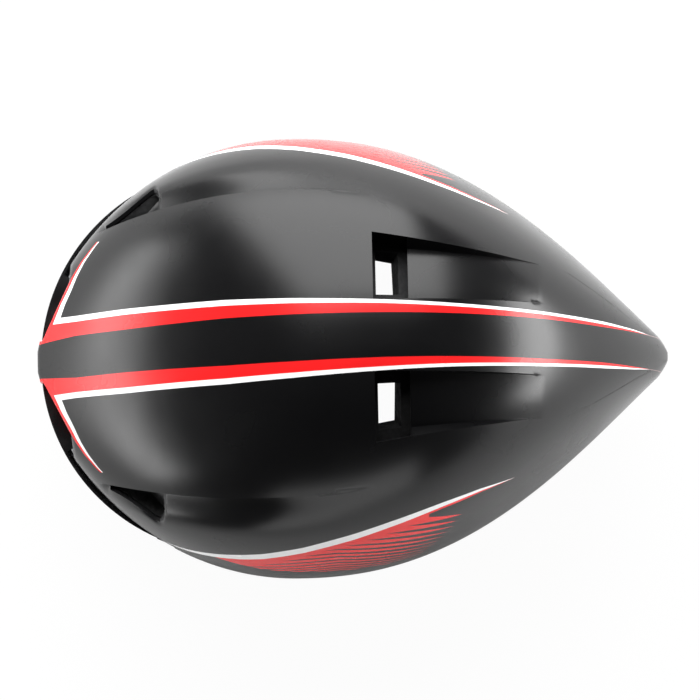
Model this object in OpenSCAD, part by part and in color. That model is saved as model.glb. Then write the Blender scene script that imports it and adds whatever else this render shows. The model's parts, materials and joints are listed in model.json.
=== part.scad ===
/* [Shell] */
// Length from the nose of the brow to the tip of the tail
helmet_length = 315; // [309:1:321]
// Width across the widest part of the shell
helmet_width = 217; // [213:1:223]
// Height from the resting edge of the ear flaps to the crown
helmet_height = 210; // [207:1:216]
// Thickness of the moulded shell
shell_wall = 2; // [1.6:0.1:2.4]
// Distance from the nose back to the widest section
widest_from_nose = 127; // [122:1:132]
// Distance from the nose back to the highest section
crown_from_nose = 170; // [162:1:178]
// Height of the nose point
nose_height = 104; // [102:1:107]
// Height of the tail tip
tail_height = 65; // [62:1:68]
// Gap between the shell and the foam liner
liner_gap = 0.9; // [0.6:0.05:1]
// Distance that the liner stays back from the shell's rim
liner_setback = 3; // [2:0.5:5]

/* [Rim in side view] */
// How far the brow rim lies below the nose point
brow_rim_drop = 6.5; // [5:0.5:7.5]
// Height of the rim under the tail
tail_rim_height = 57.5; // [54:0.5:60]
// Where the ear flap's resting edge starts
flap_front = -50; // [-54:1:-46]
// Where the ear flap's resting edge ends
flap_rear = 46; // [42:1:52]
// Distance from the visor's end back to the ear flap's front edge
flap_to_visor = 1; // [0.5:0.5:3]

/* [Head space] */
// Width of the head space
head_width = 166; // [164:1:168]
// Length of the head space
head_length = 210; // [207:1:212]
// Where the middle of the head space lies
head_centre = -12; // [-13:0.5:-11]
// Height at which the head space starts to dome
head_level = 100; // [98:1:103]
// Height of the top of the head space
head_top = 186; // [182:1:188]
// Thickness of the comfort pads
pad_thickness = 6; // [4:0.5:7]
// Gap between a soft part and what carries it
soft_gap = 0.3; // [0.25:0.05:0.5]
// Further gap between the curved wall of the liner and what lies on it
wall_gap = 0.7; // [0.6:0.05:0.8]

/* [Rear outlets] */
// Distance from the centre line to the outlet's inner edge
outlet_inner = 17.4; // [16:0.2:19]
// Distance from the centre line to the outlet's outer edge
outlet_outer = 51; // [48:0.5:53]
// Where the outlet's front edge lies
outlet_front = 9.3; // [7:0.1:11]
// Length of the open part of the outlet
outlet_length = 17; // [15:0.5:19]
// Length of the ramp that rises behind the opening
ramp_length = 64.5; // [60:0.5:68]
// Depth of the ramp at its front edge
ramp_depth = 10; // [8:0.5:12]
// How far the outer wall leans in over its depth
ramp_lean = 5; // [4:0.5:6]
// Distance from the centre line to the outer wall where the ramp ends
ramp_end_outer = 37.5; // [35:0.5:40]
// Depth of the pocket in the liner under the opening
outlet_pocket = 18; // [15:1:20]
// Distance from the opening's front edge to the duct through the liner
duct_start = 1.5; // [1:0.1:3]
// Length of the duct through the liner
duct_length = 11; // [9:0.5:13]

/* [Front intakes] */
// Depth of the groove below the crease
groove_depth = 5; // [4:0.5:6]
// Where the groove starts
groove_front = -126; // [-127:0.5:-124]
// Where the groove fades out
groove_rear = 10; // [6:1:14]
// Largest distance of the crease from the centre line
crease_reach = 74.8; // [73:0.2:76]

/* [Visor] */
// Radius of the lens along its lower edge
visor_radius = 91; // [90:0.5:92]
// How much larger the radius is at the visor's top edge
visor_flare = 4.5; // [4:0.1:5]
// Height of the lens's lower edge
visor_bottom = 30; // [26:1:36]
// How far the visor's top lies below the nose point
visor_drop = 8; // [7.8:0.1:9]
// Half of the angle that the visor wraps
visor_half_angle = 67.5; // [66:0.5:68]
// Thickness of the lens
lens_thickness = 2.2; // [1.8:0.1:2.6]
// Width of the frame on each side of the lens
frame_lip = 1.4; // [1.2:0.1:1.8]
// Height of the frame's lower rim and of its top band
frame_rim = 6; // [5:0.5:8]
// How far the nose reaches out over the visor
nose_overhang = 1.6; // [1:0.2:3]
// Distance that the top flange reaches inwards from the lens
flange_length = 12.4; // [12:0.2:13]
// Width of the blocks that hold the magnets
block_span = 11; // [10:0.5:11.5]
// Height of the blocks that hold the magnets
block_height = 5; // [4:0.5:5.5]
// Radius of the magnets
magnet_radius = 3; // [2.5:0.1:3.2]
// Thickness of the magnets
magnet_thickness = 2; // [1.5:0.1:2.5]
// Angle between neighbouring magnets
magnet_angle = 22; // [20:1:23]
// Half of the angle that the top flange wraps
flange_half_angle = 27.5; // [27:0.5:29]

/* [Fit system] */
// Thickness of the side arms
arm_thickness = 2; // [1.6:0.1:2.4]
// Height of the side arms
arm_height = 14; // [12:0.5:15]
// Height of the arms' middle line and of the dial
fit_height = 72; // [71:0.5:74]
// Gap between the arms and the liner
arm_gap = 1; // [0.8:0.1:1.4]
// Where the temple pivots lie along the helmet
pivot_y = -62; // [-64:1:-60]
// Radius of the temple pins
pin_radius = 2.5; // [2:0.1:3]
// Foam and shell between the temple sockets' ends and the widest part of the helmet
socket_cover = 17.4; // [16:0.2:19]
// Radial running clearance of pins and shafts
running_gap = 0.05; // [0.03:0.01:0.08]
// Radius of the temple sockets
socket_radius = 7.6; // [6.5:0.1:8]
// Teeth on the dial's pinion
pinion_teeth = 14; // [14:1:15]
// Gear module of the pinion and the racks
gear_module = 0.8; // [0.75:0.01:0.85]
// Free play between the flanks of the teeth
backlash = 0.2; // [0.15:0.01:0.3]
// Width of the racks and of the pinion along the shaft
gear_width = 5; // [4:0.5:6]
// Half of the width of the cradle's housing
housing_half = 30; // [29.5:0.5:31]
// Wall of the cradle's housing
housing_wall = 2; // [1.8:0.1:2.2]
// Radius of the dial's shaft
shaft_radius = 3; // [2.6:0.1:3.4]
// Radius of the dial
dial_radius = 16; // [15:0.5:16.5]
// Thickness of the dial
dial_thickness = 10; // [8:0.5:11]
// Grip notches around the dial
dial_notches = 18; // [12:1:24]

/* [Straps] */
// Width of the webbing
web_width = 14; // [12:0.5:15]
// Thickness of the webbing
web_thickness = 1.2; // [1:0.1:1.6]
// Height of the strap anchors
anchor_height = 48; // [44:1:50]
// Where the front strap anchors lie
anchor_front = -38; // [-42:1:-34]
// Where the rear strap anchors lie
anchor_rear = 34; // [30:1:38]
// Radius of the strap anchors
anchor_radius = 8; // [7:0.5:9]
// Length of the buckle
buckle_length = 44; // [40:1:48]
// Thickness of the buckle
buckle_thickness = 7; // [6:0.5:8]
// Wall of the buckle
buckle_wall = 1.5; // [1.2:0.1:1.8]

/* [Hidden] */
brow_rim_height = nose_height - brow_rim_drop;
visor_top = nose_height - visor_drop;
$fn = 48;
cut = 0.01;

// Shape of the shell: exponents of its plan, its profile and its sections
front_plan = [2, 0.6];
rear_plan = [2.25, 1.24];
front_profile = [1.9, 0.95];
rear_profile = [2, 0.85];
upper_section = 2.2;
lower_section = 2.6;
side_lift = 8;
depth_below = 150;
tip_overrun = 8;
tip_length = 6;
nose_y = -helmet_length / 2;
tail_y = helmet_length / 2;
widest_y = nose_y + widest_from_nose;
crown_y = nose_y + crown_from_nose;
tip_y = tail_y - tip_length;

// How far an inward offset moves the pointed ends along the helmet
nose_share = 1.2;
tail_share = 1.5;

function nose_end(inset) = nose_y + nose_share * inset;
function tail_end(inset) = tail_y - tail_share * inset;

// The nose stands out from the brow: its sides are cut off upright as far as a notch
notch_y = nose_y + 16.9;
nose_slope = 1.97;
nose_width = 10.1;
nose_length = 3.1;
notch_slope = 25;

function nose_limit(y, inset) =
  let (notch = notch_y + inset)
  nose_width + nose_slope * max(0, min(y, notch) - nose_y - nose_length) - 2.21 * inset
  + notch_slope * max(0, y - notch);

function half_width(y, inset = 0) =
  let (w = helmet_width / 2 - inset, front = widest_y - nose_end(inset))
  y <= widest_y
    ? w * pow(max(0, 1 - pow((widest_y - y) / front, front_plan[0])), front_plan[1])
    : w * pow(max(0, 1 - pow((y - widest_y) / (tail_end(inset) + tip_overrun - widest_y),
        rear_plan[0])), rear_plan[1])
      * sqrt(max(0, 1 - pow(max(0, (y - tip_y + tail_share * inset) / tip_length), 2)));

function middle_height(y) =
  nose_height + (tail_height - nose_height) * (y - nose_y) / helmet_length
  + side_lift * (1 - pow(2 * y / helmet_length, 2));

function top_height(y, inset = 0) =
  let (crown = helmet_height - inset)
  y <= crown_y
    ? nose_height + (crown - nose_height)
      * pow(max(0, 1 - pow((crown_y - y) / (crown_y - nose_end(inset)), front_profile[0])),
        front_profile[1])
    : tail_height + (crown - tail_height)
      * pow(max(0, 1 - pow((y - crown_y) / (tail_end(inset) - crown_y), rear_profile[0])),
        rear_profile[1]);

function fall_below(y, inset = 0) =
  (depth_below - inset) * sqrt(max(0, 1 - pow(2 * y / (helmet_length - 2 * inset), 2)));

function signed_power(v, p) = sign(v) * pow(abs(v), p);

// A point on the skin at station y and angle a, counted up from the widest line
function skin_point(y, a, inset = 0) =
  let (
    up = sin(a) >= 0,
    p = 2 / (up ? upper_section : lower_section),
    h = up ? top_height(y, inset) - middle_height(y) : fall_below(y, inset)
  )
  [min(half_width(y, inset) * signed_power(cos(a), p), nose_limit(y, inset)), y,
   middle_height(y) + h * signed_power(sin(a), p)];

module one_mesh() resize([0, 0, 0]) children();

function clamp(v, low, high) = max(low, min(high, v));

// The visor's frame, whose posts are a little stouter than its rims
frame_bottom = visor_bottom - frame_rim / 2;
frame_top = visor_bottom + frame_rim / 2;
post_extra = 0.4;
post_inside = lens_thickness + frame_lip + post_extra;
visor_axis_y = nose_y + nose_overhang + lens_r(visor_top) + frame_lip;
visor_end_y = visor_axis_y - (lens_r(frame_bottom) - post_inside) * cos(visor_half_angle);

// Height of the shell's rim along the helmet: brow, ear flap, tail
flap_edge = visor_end_y + flap_to_visor;
rear_rise = 66;

function rim_height(y) =
  let (t = (y - flap_edge) / (flap_front - flap_edge), u = (y - flap_rear) / rear_rise)
  y < flap_edge ? brow_rim_height
  : y < flap_front ? brow_rim_height * pow(1 - sqrt(t), 2.2)
  : y < flap_rear ? 0
  : u < 1 ? tail_rim_height * u * u * (3 - 2 * u)
  : tail_rim_height;

// The liner's rim lies inside the shell's, with a flat shelf over the visor
shelf_gap = 0.3;
shelf_height = visor_top + 2 * shelf_gap;
liner_flap_shift = 8;

function liner_rim_height(y) = min(shelf_height, liner_setback
  + max(rim_height(y - liner_flap_shift), rim_height(y + liner_setback)));

// Outlet: how far along the ramp, and the lines of its walls
outlet_rear = outlet_front + outlet_length;
ramp_rear = outlet_rear + ramp_length;

function ramp_share(y) = clamp((ramp_rear - y) / ramp_length, 0, 1);
function outlet_wall(y) = outlet_outer
  + (ramp_end_outer - outlet_outer) * clamp((y - outlet_front) / (ramp_rear - outlet_front), 0, 1.4);

// Crease over the intake, and the lower edge of the intake's mouth
function crease_x(y) = y < -40
  ? crease_reach - 12.3 * pow((-40 - y) / 84, 2)
  : crease_reach - 0.0019 * pow(y + 40, 2);

mouth_front = -121.5;
mouth_rear = -94.5;
mouth_turn = -106;

function mouth_width(y) =
  let (t = clamp((y - mouth_front) / (mouth_rear - mouth_front), 0, 1))
  2.5 + 13.5 * pow(t, 1.2) * (t < 0.85 ? 1 : sqrt(1 - 0.66 * pow((t - 0.85) / 0.15, 2)));

// The mouth's upper edge leaves the crease towards the rear
function mouth_start(y) = 1.2 + 8.2 * pow(clamp((y - mouth_turn) / (mouth_rear - mouth_turn), 0, 1), 1.4);

function groove_swell(y) = y <= groove_front || y >= groove_rear ? 0
  : groove_depth * min(1, (y - groove_front) / 14)
    * pow(cos(90 * max(0, (y + 90) / (groove_rear + 90))), 1.4);

// Lines that run along the skin, from the centre line down to the rim
ledge = 0.4;
crease_turn = 0.9;
side_points = 17;
spine_line = side_points;
ring_points = 2 * side_points + 1;
outlet_lines = [2, 7];
duct_lines = [4, 5];
duct_shares = [0.18, 0.84];
mouth_lines = [11, 12];

function line_angle(x, share, y, inset) = let (w = half_width(y, inset))
  acos(pow(clamp(x / w, 0, share), upper_section / 2));

function rim_angle(y, inset, rim) = -asin(pow(
  clamp((middle_height(y) - rim) / fall_below(y, inset), 0, 1), lower_section / 2));

function line_angles(y, inset, grow, rim) =
  let (
    inner = line_angle(outlet_inner - grow, 0.27, y, inset),
    ledge_in = line_angle(outlet_inner - grow + ledge, 0.275, y, inset),
    foot = line_angle(outlet_wall(y) + grow - ramp_lean * ramp_share(y), 0.62, y, inset),
    wall = line_angle(outlet_wall(y) + grow, 0.66, y, inset),
    crease_share = 0.965 - 0.165 * clamp((y - groove_rear) / 60, 0, 1),
    crease = line_angle(crease_x(y) - grow, crease_share, y, inset),
    floor_top = crease - crease_turn,
    end = rim_angle(y, inset, rim),
    in_mouth = y > mouth_front - 1 && y < mouth_rear + 1,
    free_low = max(crease - 17, crease + (end - crease) * 0.6),
    mouth = in_mouth
      ? line_angle(crease_x(y) - grow + mouth_width(y), 0.995, y, inset)
      : crease + (free_low - crease) * 0.7,
    mouth_top = in_mouth
      ? min(floor_top - 0.2, line_angle(crease_x(y) - grow + mouth_start(y), 0.99, y, inset))
      : (floor_top + mouth) / 2,
    low = min(free_low, mouth - 3)
  )
  [90, (90 + inner) / 2, inner, ledge_in,
   ledge_in + (foot - ledge_in) * duct_shares[0], ledge_in + (foot - ledge_in) * duct_shares[1],
   foot, wall,
   (wall + crease) / 2, crease, floor_top, mouth_top, mouth, low,
   low + (end - low) * 0.25, low + (end - low) * 0.5, low + (end - low) * 0.75, end];

// How deep each line lies below the skin: in the groove across it, in the outlet straight down
function groove_share(k) = k == 10 ? 1 : k == 11 ? 0.75 : k == 12 ? 0.4 : 0;
function in_outlet(k) = k > outlet_lines[0] && k < outlet_lines[1];

// Stations along the helmet, from the nose to the tail
function stations(inset, grow) =
  let (nose = nose_end(inset), tail = tail_end(inset))
  concat(
    [for (d = [0.4, 1.6, 4, 8, 14]) nose + d],
    [notch_y + inset, notch_y + inset + 0.8, nose + 22],
    [groove_front, mouth_front, -114, -106, -101, -97.2, -96, mouth_rear, -92, -89.2, -86.5,
     -83, -76, -68, -59, flap_front],
    [for (i = [1:3]) flap_front + (outlet_front - grow - flap_front) * i / 4],
    [outlet_front - grow, outlet_front - grow + ledge, outlet_front + duct_start,
     outlet_front + duct_start + duct_length, outlet_rear, outlet_rear + ledge],
    [for (i = [1:6]) outlet_rear + ramp_length * i / 6],
    [for (i = [1:5]) ramp_rear + (tip_y - 6 - ramp_rear) * i / 5],
    [for (d = [6, 3, 1, 0.4]) tail - d]);

function station_index(ys, y) = len([for (v = ys) if (v < y - 0.01) v]);

function skin_row(y, inset, grow, rim, pocket) =
  let (angles = line_angles(y, inset, grow, rim))
  [for (k = [-side_points:side_points]) let (
      n = abs(k),
      p = skin_point(y, angles[n], inset + groove_share(n) * groove_swell(y)),
      drop = !in_outlet(n) || y < outlet_front - grow + ledge / 2 ? 0
        : y < outlet_rear + ledge / 2 && pocket > 0 ? pocket
        : y > outlet_rear - ledge / 2 ? ramp_depth * ramp_share(y) : 0)
    [k < 0 ? -p[0] : p[0], p[1], p[2] - drop]];

function open_cell(i, j, holes) =
  len([for (h = holes) if (i >= h[0] && i < h[1] && j >= h[2] && j < h[3]) 1]) > 0;

// Holes are blocks of cells, the same on both sides of the centre line
function both_holes(i0, i1, lines) = [
  [i0, i1, spine_line + lines[0], spine_line + lines[1]],
  [i0, i1, spine_line - lines[1], spine_line - lines[0]]];

function halves(q) = [[q[0], q[1], q[2]], [q[0], q[2], q[3]]];

// A wall between an outer and an inner net of rows, joined along the rim and round the holes
module double_net(outer, inner, outer_ends, inner_ends, holes) {
  n = ring_points;
  rows = len(outer);
  shift = rows * n + 2;
  function at(i, j) = i < 0 ? 0 : i >= rows ? rows * n + 1 : 1 + i * n + j;
  function net(away) = [for (i = [-1:rows - 1]) for (j = [0:n - 2])
    if (!open_cell(i, j, holes)) each let (
        q = [at(i, j), at(i + 1, j), at(i + 1, j + 1), at(i, j + 1)],
        tri = i < 0 ? [[q[0], q[1], q[2]]] : i >= rows - 1 ? [[q[0], q[1], q[3]]] : halves(q))
      [for (t = tri) away == 0 ? t : [t[2] + shift, t[1] + shift, t[0] + shift]]];
  function band(p, q) = halves([p, q, q + shift, p + shift]);
  rim = [for (i = [-1:rows - 1]) each concat(
    band(at(i + 1, 0), at(i, 0)), band(at(i, n - 1), at(i + 1, n - 1)))];
  rings = [for (h = holes) each concat(
    [for (i = [h[0]:h[1] - 1]) each concat(
      band(at(i, h[2]), at(i + 1, h[2])), band(at(i + 1, h[3]), at(i, h[3])))],
    [for (j = [h[2]:h[3] - 1]) each concat(
      band(at(h[0], j + 1), at(h[0], j)), band(at(h[1], j), at(h[1], j + 1)))])];
  polyhedron(
    concat([outer_ends[0]], [for (row = outer) each row], [outer_ends[1]],
      [inner_ends[0]], [for (row = inner) each row], [inner_ends[1]]),
    concat(net(0), net(1), rim, rings));
}

module outer_shell() color("#1c1c1e") {
  ys = stations(0, 0);
  ys_in = stations(shell_wall, 0);
  double_net(
    [for (y = ys) skin_row(y, 0, 0, rim_height(y), 0)],
    [for (y = ys_in) skin_row(y, shell_wall, shell_wall, rim_height(y), 0)],
    [[0, nose_y, brow_rim_height], [0, tail_y, tail_rim_height]],
    [[0, nose_end(shell_wall), brow_rim_height], [0, tail_end(shell_wall), tail_rim_height]],
    concat(
      both_holes(station_index(ys, outlet_front), station_index(ys, outlet_rear), outlet_lines),
      both_holes(station_index(ys, mouth_front), station_index(ys, mouth_rear), mouth_lines)));
}

module both_sides() {
  children();
  mirror([1, 0, 0]) children();
}

// Head space, closed by a dome, smaller by an inset all round
module head_space(inset) {
  a = head_width / 2 - inset;
  b = head_length / 2 - inset;
  h = head_top - head_level - inset;
  translate([0, head_centre, head_level]) {
    scale([a, b, h]) sphere(1, $fn = 36);
    translate([0, 0, -head_level - 1]) linear_extrude(head_level + 1 + cut)
      scale([a, b]) circle(1, $fn = 36);
  }
}

module visor_turn(angle) {
  translate([0, visor_axis_y, 0]) rotate([0, 0, -90 - angle])
    rotate_extrude(angle = 2 * angle) children();
}

// Pocket in the liner behind the head for the cradle and the dial
pocket_half = housing_half + 14.5;
pocket_rear = head_centre + head_length / 2 + 13;
pocket_corner = head_length / 2 + 44;
pocket_top = 104;

// The point of the head space that faces a point of the skin
function head_point(p) =
  let (
    a = head_width / 2,
    b = head_length / 2,
    x = p[0],
    y = p[1] - head_centre,
    up = max(0, p[2] - head_level),
    wall = 1 / sqrt(pow(x / a, 2) + pow(y / b, 2) + pow(up / (head_top - head_level), 2)),
    pocket = p[2] < pocket_top && y > 0
      ? min(pocket_half / max(abs(x), 0.01), (pocket_rear - head_centre) / y,
          pocket_corner / (abs(x) + y)) : 0,
    t = max(wall, min(pocket, 1))
  )
  [x * t, head_centre + y * t, p[2] - up + up * t];

module temple_bore(radius, from, to) {
  translate([from, pivot_y, fit_height]) rotate([0, 90, 0])
    cylinder(r = radius, h = to - from, $fn = 40);
}

// The wall of the head space beside a station, and how it slopes there
function wall_x(y) = head_width / 2 * sqrt(1 - pow((y - head_centre) / (head_length / 2), 2));
function wall_slope(y) = atan2(pow(head_width / head_length, 2) * (y - head_centre), wall_x(y));

module anchor_place(y) {
  translate([wall_x(y), y, anchor_height]) rotate([0, 0, wall_slope(y)]) rotate([0, 90, 0])
    translate([0, 0, -soft_gap - wall_gap - anchor_thickness]) children();
}

module hanger_hole(radius) {
  translate([0, hanger_lip_y, hanger_pin_height]) rotate([-90, 0, 0])
    cylinder(r = radius, h = 12, $fn = 32);
}

module liner_body() {
  inset = shell_wall + liner_gap;
  ys = stations(inset, inset);
  rows = [for (y = ys) skin_row(y, inset, inset, liner_rim_height(y), outlet_pocket)];
  duct_front = outlet_front + duct_start;
  double_net(rows,
    [for (row = rows) [for (p = row) head_point(p)]],
    [[0, nose_end(inset), shelf_height], [0, tail_end(inset), tail_rim_height + liner_setback]],
    [head_point([0, nose_end(inset), shelf_height]),
     head_point([0, tail_end(inset), tail_rim_height + liner_setback])],
    concat(
      both_holes(station_index(ys, duct_front), station_index(ys, duct_front + duct_length),
        duct_lines),
      both_holes(station_index(ys, mouth_front), station_index(ys, mouth_rear), mouth_lines)));
}

module eps_liner() color("#2b2b2d") difference() {
  liner_body();
  both_sides() {
    temple_bore(socket_radius + 2, 55, socket_face);
    temple_bore(socket_radius + soft_gap, 55, socket_face + socket_length);
  }
  hanger_hole(hanger_pin_radius + soft_gap);
  for (a = [-magnet_angle, 0, magnet_angle])
    magnet_place(a) translate([0, 0, shelf_gap - 1])
      cylinder(r = magnet_radius + 0.15, h = magnet_thickness + soft_gap + 1, $fn = 32);
}

// Visor: lens, frame and the magnets that hold it under the brow
function lens_r(z) = visor_radius + visor_flare * (z - visor_bottom) / (visor_top - visor_bottom);

lens_fit = 0.1;
lens_top = visor_top - 1.6;
band_low = visor_top - frame_rim;
post_angle = 2.5;
flange_thickness = 1.4;
flange_outer = lens_r(lens_top) - lens_thickness - 0.4;
flange_inner = flange_outer - flange_length;
magnet_reach = flange_inner + magnet_radius + 1.5;

module magnet_place(a) {
  translate([0, visor_axis_y, visor_top]) rotate([0, 0, a])
    translate([0, -magnet_reach, 0]) children();
}

module lens_section(fit) {
  polygon([
    [lens_r(visor_bottom) - lens_thickness - fit, visor_bottom - fit],
    [lens_r(visor_bottom) + fit, visor_bottom - fit],
    [lens_r(lens_top) + fit, lens_top + fit],
    [lens_r(lens_top) - lens_thickness - fit, lens_top + fit]
  ]);
}

module visor_lens() color("#9aa4ad", 0.4)
  visor_turn(visor_half_angle - post_angle / 2) lens_section(0);

module visor_frame() color("#101012") difference() {
  union() {
    visor_turn(visor_half_angle) {
      polygon([
        [lens_r(frame_bottom) - lens_thickness - frame_lip, frame_bottom],
        [lens_r(frame_bottom) + frame_lip, frame_bottom],
        [lens_r(frame_top) + frame_lip, frame_top],
        [lens_r(frame_top) - lens_thickness - frame_lip, frame_top]
      ]);
      polygon([
        [lens_r(band_low) - cut, band_low],
        [lens_r(band_low) + frame_lip, band_low],
        [lens_r(visor_top) + frame_lip, visor_top],
        [lens_r(visor_top) - cut, visor_top]
      ]);
    }
    for (side = [-1, 1])
      translate([0, visor_axis_y, 0])
        rotate([0, 0, -90 + side * (visor_half_angle - post_angle / 2 + 0.2) - post_angle / 2])
          rotate_extrude(angle = post_angle) polygon([
            [lens_r(frame_bottom) - post_inside, frame_bottom - post_extra],
            [lens_r(frame_bottom) + frame_lip + post_extra, frame_bottom - post_extra],
            [lens_r(visor_top) + frame_lip + post_extra, visor_top - post_extra],
            [lens_r(visor_top) - post_inside, visor_top - post_extra]
          ]);
    visor_turn(flange_half_angle) translate([flange_inner, visor_top - flange_thickness])
      square([lens_r(visor_top) + 0.4 - flange_inner, flange_thickness]);
    for (a = [-magnet_angle, 0, magnet_angle])
      translate([0, visor_axis_y, 0]) rotate([0, 0, a])
        translate([-block_span / 2, -flange_outer, visor_top - block_height])
          cube([block_span, flange_length - 0.6, block_height]);
  }
  visor_turn(visor_half_angle - post_angle / 2 + 0.05) lens_section(lens_fit);
  for (a = [-magnet_angle, 0, magnet_angle])
    magnet_place(a) translate([0, 0, -magnet_thickness - 0.1])
      cylinder(r = magnet_radius + 0.1, h = magnet_thickness + 1);
}

module visor_magnets() color("silver")
  for (a = [-magnet_angle, 0, magnet_angle])
    magnet_place(a) translate([0, 0, -magnet_thickness])
      cylinder(r = magnet_radius, h = magnet_thickness);

module brow_magnets() color("silver")
  for (a = [-magnet_angle, 0, magnet_angle])
    magnet_place(a) translate([0, 0, shelf_gap])
      cylinder(r = magnet_radius, h = magnet_thickness);

// Comfort pads lie on the wall of the head space
module wall_pad() {
  one_mesh() intersection() {
    difference() {
      head_space(soft_gap + wall_gap);
      head_space(soft_gap + wall_gap + pad_thickness);
    }
    children();
  }
}

module brow_pad() color("#3a3a3c") wall_pad()
  translate([0, 0, 91.5]) linear_extrude(24) offset(r = 3) offset(delta = -3)
    polygon([[0, -30], [62, -110], [62, -150], [-62, -150], [-62, -110]]);

module crown_pad() color("#3a3a3c") wall_pad()
  translate([0, 0, head_level + 20]) linear_extrude(100) offset(r = 4, $fn = 16) {
    translate([-8, -80]) square([16, 110]);
    translate([-32, -62]) square([64, 10]);
    translate([-36, -22]) square([72, 10]);
  }

module side_pad() wall_pad()
  translate([50, head_centre, 0]) rotate([90, 0, 90]) linear_extrude(60)
    translate([0, fit_height + 28]) offset(r = 5) square([56, 14], center = true);

module left_side_pad() color("#3a3a3c") side_pad();
module right_side_pad() color("#3a3a3c") mirror([1, 0, 0]) side_pad();

// Fit system: the arms follow the head space on two arcs each
pitch_radius = pinion_teeth * gear_module / 2;
tooth_head = 0.8 * gear_module;
tooth_foot = 1.15 * gear_module;
rack_body = 4;
arm_a = head_width / 2 - arm_gap - arm_thickness / 2;
arm_b = head_length / 2 - arm_gap - arm_thickness / 2;
rear_arc = 0.973 * arm_a * arm_a / arm_b;
side_arc = (arm_a * arm_a + pow(arm_b - rear_arc, 2) - rear_arc * rear_arc)
  / (2 * (arm_a - rear_arc));
rear_arc_y = head_centre + arm_b - rear_arc;
arc_angle = atan2(arm_b - rear_arc, side_arc - arm_a);
front_angle = asin((pivot_y - head_centre) / side_arc);
arm_end_x = arm_a - side_arc + side_arc * cos(front_angle);
rack_travel = 8;
block_x = housing_half + rack_travel + 0.7;
block_width = 3.5;
rear_end = acos((block_x + block_width / 2) / rear_arc);
arm_steps = 14;

// The housing stands across the back of the head
housing_front = rear_arc_y + sqrt(pow(rear_arc, 2) - pow(housing_half + 2, 2)) - 2.5;
rack_y = housing_front + housing_wall + 0.25;
room_half_height = pitch_radius + tooth_foot + rack_body + 0.3;
housing_half_height = room_half_height + 2.5;
room_depth = gear_width + 0.75;
cover_y = housing_front + housing_wall + room_depth;
cover_thickness = 2;
dial_y = cover_y + cover_thickness + 0.9;
rack_tail = 12;
slot_gap = 0.3;
disc_radius = 8;
disc_thickness = 2.4;
disc_x = arm_end_x - disc_thickness / 2;
socket_face = disc_x + disc_thickness + 3.8;
socket_length = helmet_width / 2 - socket_cover - socket_face;
pin_length = socket_length - 0.5;

function involute(r, base) = let (p = acos(min(1, base / r))) tan(p) * 180 / PI - p;

module pinion_outline() {
  base = pitch_radius * cos(20);
  root = pitch_radius - tooth_foot;
  tip = pitch_radius + tooth_head;
  half = 90 / pinion_teeth - backlash / 2 / (2 * pitch_radius) * 180 / PI + involute(pitch_radius, base);
  steps = 4;
  radii = concat([root], [for (i = [0:steps]) base + (tip - base) * i / steps]);
  function spread(r) = half - (r > base ? involute(r, base) : 0);
  polygon([for (t = [0:pinion_teeth - 1]) let (middle = 90 + 360 * t / pinion_teeth)
    each concat(
      [for (i = [0:len(radii) - 1]) let (r = radii[i], a = middle - spread(r))
        [r * cos(a), r * sin(a)]],
      [for (i = [len(radii) - 1:-1:0]) let (r = radii[i], a = middle + spread(r))
        [r * cos(a), r * sin(a)]])]);
}

// Rack with its teeth down and a gap between teeth at the middle of the pinion
module rack_outline(from, to) {
  pitch = PI * gear_module;
  first = ceil((from + pitch) / pitch);
  last = floor((to - pitch) / pitch) - 1;
  line = pitch_radius;
  half = pitch / 4 - backlash / 4;
  lean = tan(20);
  top = line + tooth_foot;
  tip = line - tooth_head;
  polygon(concat(
    [[to, top], [to, top + rack_body], [from, top + rack_body], [from, top]],
    [for (k = [first:last]) let (c = (k + 0.5) * pitch)
      each [[c - half - tooth_foot * lean, top], [c - half + tooth_head * lean, tip],
        [c + half - tooth_head * lean, tip], [c + half + tooth_foot * lean, top]]]));
}

module across(y, thickness) {
  translate([0, y + thickness, fit_height]) rotate([90, 0, 0])
    linear_extrude(thickness) children();
}

// A line along the arm at distance o outside its middle
function arm_line(o) = concat(
  [for (i = [0:arm_steps]) let (a = front_angle + (arc_angle - front_angle) * i / arm_steps)
    [arm_a - side_arc + (side_arc + o) * cos(a), head_centre + (side_arc + o) * sin(a)]],
  [for (i = [1:arm_steps]) let (a = arc_angle + (rear_end - arc_angle) * i / arm_steps)
    [(rear_arc + o) * cos(a), rear_arc_y + (rear_arc + o) * sin(a)]]);

function turned_round(line) = [for (i = [len(line) - 1:-1:0]) line[i]];

module arm(up) {
  translate([0, 0, fit_height - arm_height / 2]) linear_extrude(arm_height)
    polygon(concat(arm_line(arm_thickness / 2), turned_round(arm_line(-arm_thickness / 2))));
  temple_disc();
  block_low = min(-arm_height / 2, up * (pitch_radius + tooth_foot + rack_body));
  block_high = max(arm_height / 2, up * (pitch_radius + tooth_foot + rack_body));
  block_y = rear_arc_y + rear_arc * sin(rear_end) - arm_thickness;
  translate([block_x, block_y, fit_height + block_low])
    cube([block_width, rack_y + gear_width - block_y, block_high - block_low]);
  across(rack_y, gear_width) mirror([0, up > 0 ? 0 : 1])
    rack_outline(-rack_tail, block_x + block_width - 0.2);
}

module temple_disc() {
  temple_bore(disc_radius, disc_x, disc_x + disc_thickness);
  temple_bore(pin_radius, disc_x, disc_x + disc_thickness + pin_length);
}

module left_arm() color("#222224") arm(1);
module right_arm() color("#222224") mirror([1, 0, 0]) arm(-1);

module temple_socket() difference() {
  temple_bore(socket_radius, socket_face, socket_face + socket_length - soft_gap);
  temple_bore(pin_radius + running_gap, socket_face - 1,
    disc_x + disc_thickness + pin_length + 1.5);
}

module left_temple_socket() color("#444446") temple_socket();
module right_temple_socket() color("#444446") mirror([1, 0, 0]) temple_socket();

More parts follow.
